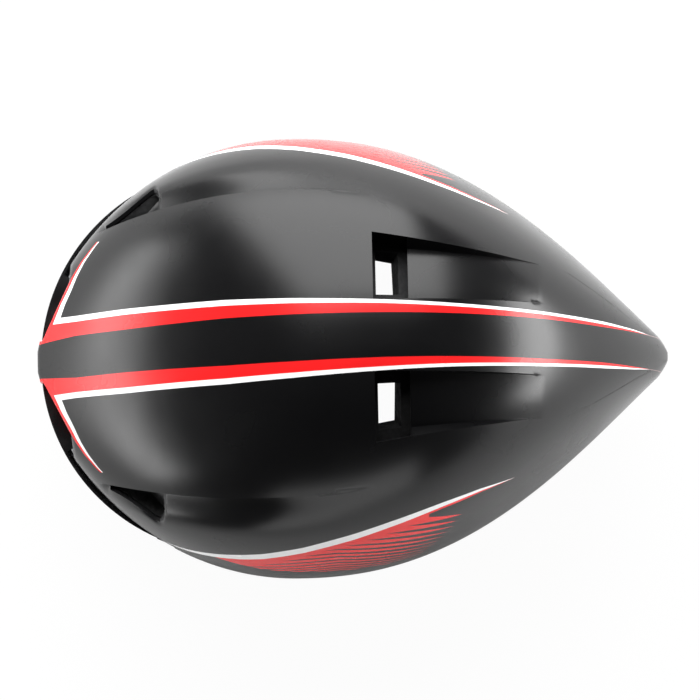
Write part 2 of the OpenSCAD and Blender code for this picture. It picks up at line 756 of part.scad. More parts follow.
// Cradle: housing for the racks, wings round the back of the head, clip for the hanger
screw_x = 24;
screw_radius = 1.05;
boss_radius = 3;
wing_low = -27;
wing_high = -12;
wing_thickness = 2.2;
hanger_half = 6;
clip_gap = 0.8;
clip_wall = 2;
hanger_thickness = 1;
hanger_y = housing_front - 2.8;
clip_depth = 4;
hanger_pin_height = 109.5;
hanger_pin_radius = 2.5;
hanger_lip_half = 5;
hanger_lip_low = hanger_pin_height - hanger_lip_half;
hanger_lip_y = head_centre + head_length / 2 * sqrt(1 - pow(2 * hanger_half / head_width, 2)
  - pow((hanger_lip_low + 2 * hanger_lip_half - head_level) / (head_top - head_level), 2))
  - hanger_thickness - wall_gap;
hanger_low = fit_height - 10;

module wing_plan() {
  intersection() {
    translate([0, rear_arc_y]) difference() {
      circle(rear_arc + wing_thickness / 2);
      circle(rear_arc - wing_thickness / 2);
    }
    both_sides_flat() polygon([[housing_half - 4, rear_arc_y + 20], [50, rear_arc_y + 20],
      [50, rear_arc_y + 90], [housing_half - 4, rear_arc_y + 90]]);
  }
  translate([-housing_half, housing_front]) square([2 * housing_half, housing_wall]);
  both_sides_flat() translate([housing_half - 4, housing_front]) square([4, 6]);
}

module both_sides_flat() {
  children();
  mirror([1, 0]) children();
}

module cradle() color("#1e1e20") difference() {
  union() {
    difference() {
      across(housing_front, housing_wall + room_depth - 0.1)
        square([2 * housing_half, 2 * housing_half_height], center = true);
      across(housing_front + housing_wall, room_depth + 1)
        square([2 * housing_half - 2 * housing_wall, 2 * room_half_height], center = true);
    }
    for (side = [-1, 1]) translate([side * screw_x, 0, 0])
      across(housing_front + housing_wall - cut, room_depth - 0.1) circle(boss_radius);
    translate([0, 0, fit_height + wing_low]) linear_extrude(wing_high - wing_low) wing_plan();
    translate([0, 0, fit_height + 4]) linear_extrude(8) difference() {
      translate([-hanger_half - clip_gap - clip_wall, housing_front - clip_depth - 1])
        square([2 * (hanger_half + clip_gap + clip_wall), clip_depth + 1 + cut]);
      translate([-hanger_half - clip_gap, housing_front - clip_depth])
        square([2 * (hanger_half + clip_gap), clip_depth]);
    }
  }
  across(housing_front + 0.6, 10) circle(shaft_radius + running_gap);
  for (side = [-1, 1]) translate([side * screw_x, 0, 0])
    across(housing_front + 1, 10) circle(screw_radius + running_gap);
  translate([housing_half - 5, rack_y - slot_gap, fit_height + pitch_radius - tooth_head - slot_gap])
    cube([10, 20, tooth_head + tooth_foot + rack_body + 2 * slot_gap]);
  translate([-housing_half - 5, rack_y - slot_gap,
    fit_height - pitch_radius - tooth_foot - rack_body - slot_gap])
    cube([10, 20, tooth_head + tooth_foot + rack_body + 2 * slot_gap]);
}

module cradle_cover() color("#2a2a2c") difference() {
  across(cover_y, cover_thickness)
    square([2 * housing_half, 2 * housing_half_height], center = true);
  across(cover_y - 1, 10) circle(shaft_radius + running_gap);
  for (side = [-1, 1]) translate([side * screw_x, 0, 0])
    across(cover_y - 1, 10) circle(screw_radius + running_gap);
}

module cover_screws() color("silver")
  for (side = [-1, 1]) translate([side * screw_x, 0, 0]) {
    across(cover_y + cover_thickness + 0.02, 1.4) difference() {
      circle(2.4);
      circle(1, $fn = 6);
    }
    across(housing_front + housing_wall + 1, room_depth + cover_thickness - 0.5)
      circle(screw_radius);
  }

module dial_pinion() color("#5a5a5e") difference() {
  union() {
    across(rack_y, gear_width) pinion_outline();
    across(housing_front + 0.8, dial_y + dial_thickness - housing_front - 3.8)
      circle(shaft_radius);
  }
  across(dial_y + dial_thickness - 11, 10) circle(screw_radius + running_gap);
}

ratchet_teeth = 24;
ratchet_radius = 13;

module dial_knob() color("#242426") difference() {
  across(dial_y, dial_thickness) difference() {
    circle(dial_radius);
    for (t = [0:dial_notches - 1]) rotate(360 * t / dial_notches)
      translate([dial_radius + 1.1, 0]) circle(2, $fn = 24);
  }
  across(dial_y - 1, 4.5) {
    circle(ratchet_radius);
    for (t = [0:ratchet_teeth - 1]) rotate(360 * t / ratchet_teeth)
      translate([ratchet_radius, 0]) circle(1, $fn = 16);
  }
  across(dial_y - 1, 20) circle(shaft_radius + running_gap);
}

module dial_screw() color("silver") {
  across(dial_y + dial_thickness - 2.9, 2.4) difference() {
    circle(shaft_radius);
    circle(1.2, $fn = 6);
  }
  across(dial_y + dial_thickness - 9, 6.2) circle(screw_radius);
}

// Leaf that clicks in the dial's ratchet: a ring with a nose, on two pegs of the cover
module detent_spring() color("silver")
  across(cover_y + cover_thickness + 0.1, 3.2) difference() {
    union() {
      circle(9.5);
      translate([0, ratchet_radius - 4]) circle(3.2, $fn = 24);
    }
    circle(8);
  }

// Strap that carries the cradle at one of several heights
module hanger_strap() color("#303032") {
  lip = hanger_lip_y;
  translate([-hanger_half, hanger_y, hanger_low])
    cube([2 * hanger_half, hanger_thickness, hanger_lip_low + hanger_thickness - hanger_low]);
  translate([-hanger_half, hanger_y, hanger_lip_low])
    cube([2 * hanger_half, lip + hanger_thickness - hanger_y, hanger_thickness]);
  difference() {
    translate([-hanger_half, lip, hanger_lip_low])
      cube([2 * hanger_half, hanger_thickness, 2 * hanger_lip_half]);
    hanger_bore();
  }
}

module hanger_bore() {
  translate([0, hanger_lip_y - 1, hanger_pin_height]) rotate([-90, 0, 0])
    cylinder(r = hanger_pin_radius + running_gap, h = 14);
}

module hanger_plug() color("#1a1a1c") translate([0, 0, hanger_pin_height]) rotate([-90, 0, 0]) {
  translate([0, 0, hanger_lip_y - 1.6]) cylinder(r = 3.8, h = 1.5);
  translate([0, 0, hanger_lip_y - 0.2]) cylinder(r = hanger_pin_radius, h = 10);
}

// Foam pads on the wings of the cradle
module nape_pads() color("#3a3a3c")
  translate([0, 0, fit_height + wing_low - 1]) linear_extrude(wing_high - wing_low + 2)
    intersection() {
      translate([0, rear_arc_y]) difference() {
        circle(rear_arc - wing_thickness / 2 - soft_gap);
        circle(rear_arc - wing_thickness / 2 - soft_gap - pad_thickness + 1);
      }
      both_sides_flat() polygon([[30, rear_arc_y + 25], [49, rear_arc_y + 25],
        [49, rear_arc_y + 46], [30, housing_front - soft_gap]]);
    }

// Webbing and its fittings
anchor_thickness = 2.2;
divider_x = head_width / 2 - 6.2;
divider_thickness = 3;
divider_front = -14;
divider_size = [20, 20];
divider_low = 6;
buckle_height = web_width + 3;
strap_low = soft_gap + (buckle_height - web_width) / 2;

module strap_anchors() color("#38383a") both_sides()
  for (y = [anchor_front, anchor_rear])
    anchor_place(y) cylinder(r = anchor_radius, h = anchor_thickness);

// One leg of the harness from its anchor to the divider
module leg_strap(y, end_y) {
  foot = [divider_x - divider_thickness / 2 - web_thickness / 2, end_y,
    divider_low + divider_size[1] + soft_gap];
  hull() {
    anchor_place(y) translate([0, 0, -soft_gap - web_thickness / 2])
      cube([4, web_width * 0.8, web_thickness], center = true);
    translate([foot[0], foot[1], foot[2] + 0.5])
      cube([web_thickness, web_width * 0.6, 1], center = true);
  }
}

leg_spread = 4.8;
divider_middle = divider_front + divider_size[0] / 2;

module left_front_strap() color("#141416") leg_strap(anchor_front, divider_middle - leg_spread);
module left_rear_strap() color("#141416") leg_strap(anchor_rear, divider_middle + leg_spread);
module right_front_strap() color("#141416") mirror([1, 0, 0])
  leg_strap(anchor_front, divider_middle - leg_spread);
module right_rear_strap() color("#141416") mirror([1, 0, 0])
  leg_strap(anchor_rear, divider_middle + leg_spread);

module divider() {
  translate([divider_x - divider_thickness / 2, divider_front, divider_low])
    rotate([90, 0, 90]) linear_extrude(divider_thickness)
      difference() {
        translate([2, 2]) round_rectangle([divider_size[0] - 4, divider_size[1] - 4], 2);
        translate([3, divider_size[1] - 6]) square([divider_size[0] - 6, 2.4]);
        translate([3, 3]) square([2.4, divider_size[1] - 12]);
      }
}

// A rectangle with round corners made of exact arcs
module round_rectangle(size, r) {
  translate([-r, 0]) square([size[0] + 2 * r, size[1]]);
  translate([0, -r]) square([size[0], size[1] + 2 * r]);
  for (x = [0, size[0]], y = [0, size[1]]) translate([x, y]) circle(r, $fn = 24);
}

module left_divider() color("#29292b") divider();
module right_divider() color("#29292b") mirror([1, 0, 0]) divider();

// The chin strap runs on a superellipse from the divider round to the buckle
chin_a = divider_x;
chin_b = 76;
chin_start = divider_front - soft_gap;
chin_power = 2.4;
chin_steps = 18;

function chin_y(x) = chin_start - chin_b * pow(1 - pow(x / chin_a, chin_power), 1 / chin_power);

buckle_half = buckle_length / 2;
buckle_y = chin_y(buckle_half);

module chin_strap() {
  end = acos(pow((buckle_half + soft_gap) / chin_a, chin_power / 2));
  function at(t, o) = [(chin_a + o) * pow(cos(t), 2 / chin_power),
    chin_start - (chin_b + o) * pow(sin(t), 2 / chin_power)];
  translate([0, 0, strap_low]) linear_extrude(web_width) polygon(concat(
    [for (i = [0:chin_steps]) at(end * i / chin_steps, web_thickness / 2)],
    [for (i = [chin_steps:-1:0]) at(end * i / chin_steps, -web_thickness / 2)]));
}

module left_chin_strap() color("#141416") chin_strap();
module right_chin_strap() color("#141416") mirror([1, 0, 0]) chin_strap();

prong_length = 17;
prong_height = 3;
joint_x = 4;
prong_gap = 0.25;

module buckle_block(from, to, thickness, height) {
  translate([from, buckle_y - thickness / 2, strap_low + web_width / 2 - height / 2])
    cube([to - from, thickness, height]);
}

module buckle_female() color("#17171a") difference() {
  buckle_block(-buckle_half, joint_x - 0.15, buckle_thickness, buckle_height);
  buckle_block(-buckle_half + 6, joint_x + 1, buckle_thickness - 2 * buckle_wall,
    buckle_height - 2 * buckle_wall);
  buckle_block(-buckle_half + 8, joint_x - 7, buckle_thickness - 2 * buckle_wall, buckle_height + 4);
  buckle_block(-buckle_half + 2, -buckle_half + 4, buckle_thickness + 2, web_width);
}

module buckle_male() color("#17171a") {
  inner = buckle_height - 2 * buckle_wall - 2 * prong_gap;
  depth = buckle_thickness - 2 * buckle_wall - 2 * prong_gap;
  difference() {
    buckle_block(joint_x, buckle_half, buckle_thickness, buckle_height);
    buckle_block(buckle_half - 4, buckle_half - 2, buckle_thickness + 2, web_width);
  }
  difference() {
    buckle_block(joint_x - prong_length, joint_x + 1, depth, inner);
    buckle_block(joint_x - prong_length - 1, joint_x - 3, depth + 1, inner - 2 * prong_height);
  }
}

module strap_keeper() color("#202022")
  mirror([1, 0, 0]) translate([chin_a - web_thickness / 2 - 2, divider_front - 16, 0])
    difference() {
      translate([-0.6, 0, strap_low - 1.25]) cube([web_thickness + 5.2, 5, web_width + 2.5]);
      translate([0.9, -1, strap_low - 0.25]) cube([web_thickness + 2.2, 7, web_width + 0.5]);
    }

outer_shell();
eps_liner();
brow_magnets();
visor_lens();
visor_frame();
visor_magnets();
brow_pad();
crown_pad();
left_side_pad();
right_side_pad();
nape_pads();
left_temple_socket();
right_temple_socket();
left_arm();
right_arm();
cradle();
cradle_cover();
cover_screws();
dial_knob();
dial_pinion();
dial_screw();
detent_spring();
hanger_strap();
hanger_plug();
strap_anchors();
left_front_strap();
left_rear_strap();
right_front_strap();
right_rear_strap();
left_divider();
right_divider();
left_chin_strap();
right_chin_strap();
buckle_male();
buckle_female();
strap_keeper();
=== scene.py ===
"""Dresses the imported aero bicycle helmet: painted shell, foam liner, pads, webbing and finishes.

The shell and the liner are rebuilt from the same form as the CAD, with finer lines and rows,
so that paint, groove, outlets and rim come out smooth. Lengths below are in millimetres.
"""
import functools
import json
import math

import bmesh
import bpy
import numpy as np
from mathutils import Matrix, Vector

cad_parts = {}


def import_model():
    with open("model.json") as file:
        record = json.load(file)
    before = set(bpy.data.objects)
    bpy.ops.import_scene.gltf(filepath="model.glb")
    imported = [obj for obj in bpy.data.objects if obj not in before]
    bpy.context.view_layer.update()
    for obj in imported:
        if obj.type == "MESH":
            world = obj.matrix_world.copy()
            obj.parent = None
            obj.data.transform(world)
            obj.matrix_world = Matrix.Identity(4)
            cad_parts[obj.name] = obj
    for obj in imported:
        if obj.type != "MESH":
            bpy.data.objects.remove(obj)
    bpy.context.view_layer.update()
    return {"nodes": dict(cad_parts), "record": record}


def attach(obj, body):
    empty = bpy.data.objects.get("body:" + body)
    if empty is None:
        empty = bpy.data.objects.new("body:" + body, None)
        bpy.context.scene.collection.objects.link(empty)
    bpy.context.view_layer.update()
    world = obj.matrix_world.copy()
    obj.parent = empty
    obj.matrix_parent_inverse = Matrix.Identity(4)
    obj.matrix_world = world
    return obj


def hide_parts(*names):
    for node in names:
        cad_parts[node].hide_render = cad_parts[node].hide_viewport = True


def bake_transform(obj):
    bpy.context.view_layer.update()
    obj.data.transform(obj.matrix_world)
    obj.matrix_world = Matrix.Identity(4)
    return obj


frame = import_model()
NODES = frame["nodes"]
MM = 0.001

# The camera stands above the helmet
CAMERA_TILT, CAMERA_ROLL, CAMERA_DISTANCE = math.radians(5.4), math.radians(-1.18), 3000.0
CAMERA_AIM = Vector((-3.7, -2.25, 95.0))
VIEW_WIDTH, SENSOR = 348.0, 36.0

# Form of the shell, as in the CAD
LENGTH, WIDTH, HEIGHT = 315.0, 217.0, 210.0
WALL, LINER_GAP, LINER_SETBACK = 2.0, 0.9, 3.0
NOSE, TAIL = -LENGTH / 2, LENGTH / 2
TIP_LENGTH, TIP_OVERRUN = 6.0, 8.0
WIDEST, CROWN, TIP = NOSE + 127.0, NOSE + 170.0, TAIL - TIP_LENGTH
NOSE_HEIGHT, TAIL_HEIGHT = 104.0, 65.0
UPPER_SECTION, LOWER_SECTION, DEPTH_BELOW, MIDDLE_BULGE = 2.2, 2.6, 150.0, 8.0
BROW_RIM, TAIL_RIM, FLAP_FRONT, FLAP_REAR = 97.5, 57.5, -50.0, 46.0
FLAP_EDGE, SHELF, TAIL_RISE = -91.215, 96.6, 66.0
NOTCH, NOTCH_STEP, NOTCH_SLOPE = NOSE + 16.9, 0.8, 25.0
NOSE_HALF, NOSE_SLOPE, NOSE_LENGTH, NOSE_INSET = 10.1, 1.97, 3.1, 2.21
OUTLET_INNER, OUTLET_OUTER, OUTLET_FRONT, OUTLET_LENGTH = 17.4, 51.0, 9.3, 17.0
RAMP_LENGTH, RAMP_DEPTH, RAMP_LEAN, RAMP_END = 64.5, 10.0, 5.0, 37.5
POCKET_DEPTH, DUCT_START, DUCT_LENGTH = 18.0, 1.5, 11.0
OUTLET_REAR = OUTLET_FRONT + OUTLET_LENGTH
RAMP_REAR = OUTLET_REAR + RAMP_LENGTH
GROOVE_DEPTH, GROOVE_FRONT, GROOVE_REAR = 5.0, -126.0, 10.0
GROOVE_DEEPEST, GROOVE_START = -90.0, 14.0
CREASE_REACH, CREASE_WIDEST, CREASE_TURN = 74.8, -40.0, 0.9
MOUTH_FRONT, MOUTH_REAR, MOUTH_TURN = -121.5, -94.5, -106.0
HEAD_HALF_WIDTH, HEAD_HALF_LENGTH, HEAD_CENTRE = 83.0, 105.0, -12.0
HEAD_LEVEL, HEAD_RISE = 100.0, 86.0
CRADLE_POCKET_HALF, CRADLE_POCKET_REAR, CRADLE_POCKET_TOP = 44.5, 106.0, 104.0
CRADLE_POCKET_CORNER = 149.0
LEDGE = 0.4

# Steps between neighbouring lines of the CAD's net, from the centre line to the rim
LINE_STEPS = (5, 5, 2, 3, 6, 2, 3, 6, 6, 4, 6, 5, 5, 9, 9, 8, 8)
ROW_PITCH, FLAP_PITCH = 1.9, 0.5


def nose_end(inset):
    return NOSE + 1.2 * inset


def tail_end(inset):
    return TAIL - 1.5 * inset


def above(v):
    return np.maximum(v, 0.0)


def nose_limit(y, inset=0.0):
    """How wide the nose may be: its sides are cut off upright as far as a notch."""
    notch = NOTCH + inset
    run = above(np.minimum(y, notch) - NOSE - NOSE_LENGTH)
    return NOSE_HALF + NOSE_SLOPE * run - NOSE_INSET * inset + NOTCH_SLOPE * above(y - notch)


def half_width(y, inset=0.0):
    """Half of the shell's width at station y, drawn in by inset."""
    w = WIDTH / 2 - inset
    front = (above(WIDEST - y) / (WIDEST - nose_end(inset))) ** 2
    rear = (above(y - WIDEST) / (tail_end(inset) + TIP_OVERRUN - WIDEST)) ** 2.25
    tip = above((y - TIP + 1.5 * inset) / TIP_LENGTH) ** 2
    return np.where(
        y <= WIDEST,
        w * above(1 - front) ** 0.6,
        w * above(1 - rear) ** 1.24 * np.sqrt(above(1 - tip)),
    )


def middle_height(y):
    """Height of the shell's widest line."""
    slope = NOSE_HEIGHT + (TAIL_HEIGHT - NOSE_HEIGHT) * (y - NOSE) / LENGTH
    return slope + MIDDLE_BULGE * (1 - (2 * y / LENGTH) ** 2)


def top_height(y, inset=0.0):
    crown = HEIGHT - inset
    front = (above(CROWN - y) / (CROWN - nose_end(inset))) ** 1.9
    rear = (above(y - CROWN) / (tail_end(inset) - CROWN)) ** 2
    return np.where(
        y <= CROWN,
        NOSE_HEIGHT + (crown - NOSE_HEIGHT) * above(1 - front) ** 0.95,
        TAIL_HEIGHT + (crown - TAIL_HEIGHT) * above(1 - rear) ** 0.85,
    )


def fall_below(y, inset=0.0):
    return (DEPTH_BELOW - inset) * np.sqrt(above(1 - (2 * y / (LENGTH - 2 * inset)) ** 2))


def skin(y, angle, inset=0.0):
    """Points of the skin at station y and an angle, in degrees up from the widest line."""
    a = np.radians(angle)
    up = a >= 0
    power = np.where(up, 2 / UPPER_SECTION, 2 / LOWER_SECTION)
    rise = np.where(up, top_height(y, inset) - middle_height(y), fall_below(y, inset))
    x = np.minimum(half_width(y, inset) * above(np.cos(a)) ** power, nose_limit(y, inset))
    z = middle_height(y) + rise * np.sign(a) * np.abs(np.sin(a)) ** power
    return np.stack(np.broadcast_arrays(x, y, z), axis=-1)


def rim_height(y):
    """Height of the shell's rim: brow, ear flap, tail."""
    t = np.clip((y - FLAP_EDGE) / (FLAP_FRONT - FLAP_EDGE), 0, 1)
    u = np.clip((y - FLAP_REAR) / TAIL_RISE, 0, 1)
    front = BROW_RIM * (1 - np.sqrt(t)) ** 2.2
    return np.where(y < FLAP_FRONT, front, TAIL_RIM * u * u * (3 - 2 * u))


def liner_rim_height(y):
    rim = np.maximum(rim_height(y - 8.0), rim_height(y + LINER_SETBACK))
    return np.minimum(SHELF, LINER_SETBACK + rim)


def ramp_share(y):
    return np.clip((RAMP_REAR - y) / RAMP_LENGTH, 0, 1)


def outlet_wall(y):
    along = np.clip((y - OUTLET_FRONT) / (RAMP_REAR - OUTLET_FRONT), 0, 1.4)
    return OUTLET_OUTER + (RAMP_END - OUTLET_OUTER) * along


def crease_x(y):
    front = CREASE_REACH - 12.3 * (above(CREASE_WIDEST - y) / 84) ** 2
    rear = CREASE_REACH - 0.0019 * (y - CREASE_WIDEST) ** 2
    return np.where(y < CREASE_WIDEST, front, rear)


def mouth_width(y):
    """How far the mouth's lower edge lies below the crease."""
    t = np.clip((y - MOUTH_FRONT) / (MOUTH_REAR - MOUTH_FRONT), 0, 1)
    close = np.sqrt(1 - 0.66 * (above(t - 0.85) / 0.15) ** 2)
    return 2.5 + 13.5 * t**1.2 * close


def mouth_start(y):
    """How far the mouth's upper edge lies below the crease."""
    return 1.2 + 8.2 * np.clip((y - MOUTH_TURN) / (MOUTH_REAR - MOUTH_TURN), 0, 1) ** 1.4


def groove_swell(y):
    share = np.clip((y - GROOVE_DEEPEST) / (GROOVE_REAR - GROOVE_DEEPEST), 0, 1)
    fade = np.cos(np.radians(90 * share)) ** 1.4
    start = np.clip((y - GROOVE_FRONT) / GROOVE_START, 0, 1)
    return np.where((y > GROOVE_FRONT) & (y < GROOVE_REAR), GROOVE_DEPTH * start * fade, 0.0)


def line_angle(x, share, y, inset):
    """Angle at which the skin is at distance x from the centre line."""
    w = np.maximum(half_width(y, inset), 1e-6)
    return np.degrees(np.arccos(np.clip(x / w, 0, share) ** (UPPER_SECTION / 2)))


def line_angles(y, inset, grow, rim):
    """Angles of the CAD net's lines, from the centre line down to the rim."""
    inner = line_angle(OUTLET_INNER - grow, 0.27, y, inset)
    ledge = line_angle(OUTLET_INNER - grow + LEDGE, 0.275, y, inset)
    foot = line_angle(outlet_wall(y) + grow - RAMP_LEAN * ramp_share(y), 0.62, y, inset)
    wall = line_angle(outlet_wall(y) + grow, 0.66, y, inset)
    reach = 0.965 - 0.165 * np.clip((y - GROOVE_REAR) / 60, 0, 1)
    crease = line_angle(crease_x(y) - grow, reach, y, inset)
    fall = np.clip((middle_height(y) - rim) / np.maximum(fall_below(y, inset), 1e-6), 0, 1)
    end = -np.degrees(np.arcsin(fall ** (LOWER_SECTION / 2)))
    free_low = np.maximum(crease - 17, crease + (end - crease) * 0.6)
    in_mouth = (y > MOUTH_FRONT - 1) & (y < MOUTH_REAR + 1)
    lip = line_angle(crease_x(y) - grow + mouth_width(y), 0.995, y, inset)
    mouth = np.where(in_mouth, lip, crease + (free_low - crease) * 0.7)
    low = np.minimum(free_low, mouth - 3)
    floor_top = crease - CREASE_TURN
    start = line_angle(crease_x(y) - grow + mouth_start(y), 0.99, y, inset)
    start = np.where(in_mouth, np.minimum(floor_top - 0.2, start), (floor_top + mouth) / 2)
    floor = foot - ledge
    rest = end - low
    lines = [
        np.full_like(y, 90.0), (90 + inner) / 2, inner, ledge,
        ledge + floor * 0.18, ledge + floor * 0.84, foot, wall,
        (wall + crease) / 2, crease, floor_top, start, mouth, low,
        low + rest * 0.25, low + rest * 0.5, low + rest * 0.75, end,
    ]  # fmt: skip
    return np.stack(lines, axis=-1)


def stations(inset, grow):
    """Stations of the CAD's net from nose to tail."""
    nose, tail = nose_end(inset), tail_end(inset)
    front = OUTLET_FRONT - grow
    return np.array(
        [nose, *(nose + d for d in (0.4, 1.6, 4, 8, 14)), NOTCH + inset]
        + [NOTCH + inset + NOTCH_STEP, nose + 22, GROOVE_FRONT, MOUTH_FRONT]
        + [-114, -106, -101, -97.2, -96, MOUTH_REAR, -92, -89.2, -86.5, -83, -76, -68, -59]
        + [FLAP_FRONT, *(FLAP_FRONT + (front - FLAP_FRONT) * i / 4 for i in (1, 2, 3))]
        + [front, front + LEDGE, OUTLET_FRONT + DUCT_START]
        + [OUTLET_FRONT + DUCT_START + DUCT_LENGTH, OUTLET_REAR, OUTLET_REAR + LEDGE]
        + [OUTLET_REAR + RAMP_LENGTH * i / 6 for i in range(1, 7)]
        + [RAMP_REAR + (TIP - 6 - RAMP_REAR) * i / 5 for i in range(1, 6)]
        + [*(tail - d for d in (6, 3, 1, 0.4)), tail]
    )


def fine_rows(inset, grow):
    """The stations with further rows between them, as many for every inset."""
    coarse, plain = stations(inset, grow), stations(0, 0)
    rows = []
    for a, b, p, q in zip(coarse, coarse[1:], plain, plain[1:]):
        pitch = FLAP_PITCH if -96.5 < p < -82 else ROW_PITCH
        steps = max(1, math.ceil((q - p) / pitch))
        rows.extend(np.linspace(a, b, steps, endpoint=False))
    return np.array([*rows, coarse[-1]])


LINES = np.concatenate(
    [np.linspace(k, k + 1, n, endpoint=False) for k, n in enumerate(LINE_STEPS)]
    + [[len(LINE_STEPS)]]
)


def net_angles(rows, inset, grow, rim):
    """Angles of the fine lines, between the CAD's lines."""
    coarse = line_angles(rows, inset, grow, rim)
    whole = np.minimum(LINES.astype(int), len(LINE_STEPS) - 1)
    part = LINES - whole
    return coarse[:, whole] * (1 - part) + coarse[:, whole + 1] * part


def half_net(rows, inset, grow, rim, pocket=0.0):
    """One side of the net, from the centre line to the rim: an array of rows by lines by XYZ."""
    y = rows[:, None]
    angles = net_angles(rows, inset, grow, rim)
    steep = np.clip(LINES - 9, 0, 1)
    gentle = np.clip((13 - LINES) / 3, 0, 1)
    groove = np.where(LINES < 10, steep**0.8, 0.5 - 0.5 * np.cos(np.pi * gentle**1.3))
    points = skin(y, angles, inset + groove * groove_swell(y))
    across = np.clip(np.minimum(LINES - 2, 7 - LINES), 0, 1)
    in_hole = (y >= OUTLET_FRONT - grow + LEDGE / 2) & (y < OUTLET_REAR + LEDGE / 2)
    behind = y > OUTLET_REAR - LEDGE / 2 if pocket == 0 else y >= OUTLET_REAR + LEDGE / 2
    drop = np.where(in_hole, pocket, 0) + np.where(behind, RAMP_DEPTH * ramp_share(y), 0)
    points[..., 2] -= drop * across
    return points


def whole_net(half):
    """Both sides of a net, from the right rim over the centre line to the left one."""
    return np.concatenate([half[:, :0:-1] * (-1, 1, 1), half], axis=1)


ALL_LINES = np.concatenate([LINES[:0:-1], LINES])


def open_cells(rows, holes):
    """True where a cell of the net lies in one of the holes: (first y, last y, lines)."""
    y = (rows[1:] + rows[:-1])[:, None] / 2
    k = (ALL_LINES[1:] + ALL_LINES[:-1])[None, :] / 2
    cut = np.zeros((len(rows) - 1, len(ALL_LINES) - 1), bool)
    for first, last, low, high in holes:
        cut |= (y > first) & (y < last) & (k > low) & (k < high)
    return cut


def pole(net, ends):
    """The net with its first and last row drawn together into points."""
    net = net.copy()
    net[0], net[-1] = ends
    return net


# Meshes
def mesh_object(name, points, faces, smooth_angle=40.0):
    """An object from points in millimetres, shaded smooth between edges under an angle."""
    mesh = bpy.data.meshes.new(name)
    mesh.from_pydata(np.asarray(points, float) * MM, [], faces)
    mesh.validate()
    mesh.shade_smooth()
    mesh.set_sharp_from_angle(angle=math.radians(smooth_angle))
    obj = bpy.data.objects.new(name, mesh)
    bpy.context.scene.collection.objects.link(obj)
    return obj


def double_net(name, outer, inner, cut, materials):
    """A wall between two nets, closed along the rim and round the holes. Paint is on the outside."""
    rows, lines = outer.shape[:2]
    index = np.arange(rows * lines).reshape(rows, lines)
    shift = rows * lines
    keep = ~cut
    a, b, c, d = index[:-1, :-1], index[:-1, 1:], index[1:, 1:], index[1:, :-1]
    quads = np.stack([a, b, c, d], axis=-1)[keep]
    padded = np.pad(keep, 1)
    faces = [quads, quads[:, ::-1] + shift]
    for p, q, beside in (
        (a, b, padded[:-2, 1:-1]), (b, c, padded[1:-1, 2:]),
        (c, d, padded[2:, 1:-1]), (d, a, padded[1:-1, :-2]),
    ):  # fmt: skip
        edge = keep & ~beside
        p, q = p[edge], q[edge]
        faces.append(np.stack([q, p, p + shift, q + shift], axis=-1))
    points = np.concatenate([outer.reshape(-1, 3), inner.reshape(-1, 3)])
    obj = mesh_object(name, points, np.concatenate(faces).tolist())
    for material in materials:
        obj.data.materials.append(material)
    slots = np.ones(len(obj.data.polygons), int)
    slots[: len(quads)] = 0
    obj.data.polygons.foreach_set("material_index", slots)
    return obj


def weld(obj):
    """Merges points that coincide, and drops what was left without a use."""
    work = bmesh.new()
    work.from_mesh(obj.data)
    bmesh.ops.remove_doubles(work, verts=work.verts, dist=1e-7)
    bmesh.ops.delete(work, geom=[v for v in work.verts if not v.link_faces], context="VERTS")
    work.to_mesh(obj.data)
    work.free()


def face_outwards(obj):
    work = bmesh.new()
    work.from_mesh(obj.data)
    bmesh.ops.recalc_face_normals(work, faces=work.faces)
    work.to_mesh(obj.data)
    work.free()


def point_values(obj, name, values):
    obj.data.attributes.new(name, "FLOAT", "POINT").data.foreach_set(
        "value", np.asarray(values, np.float32).ravel()
    )


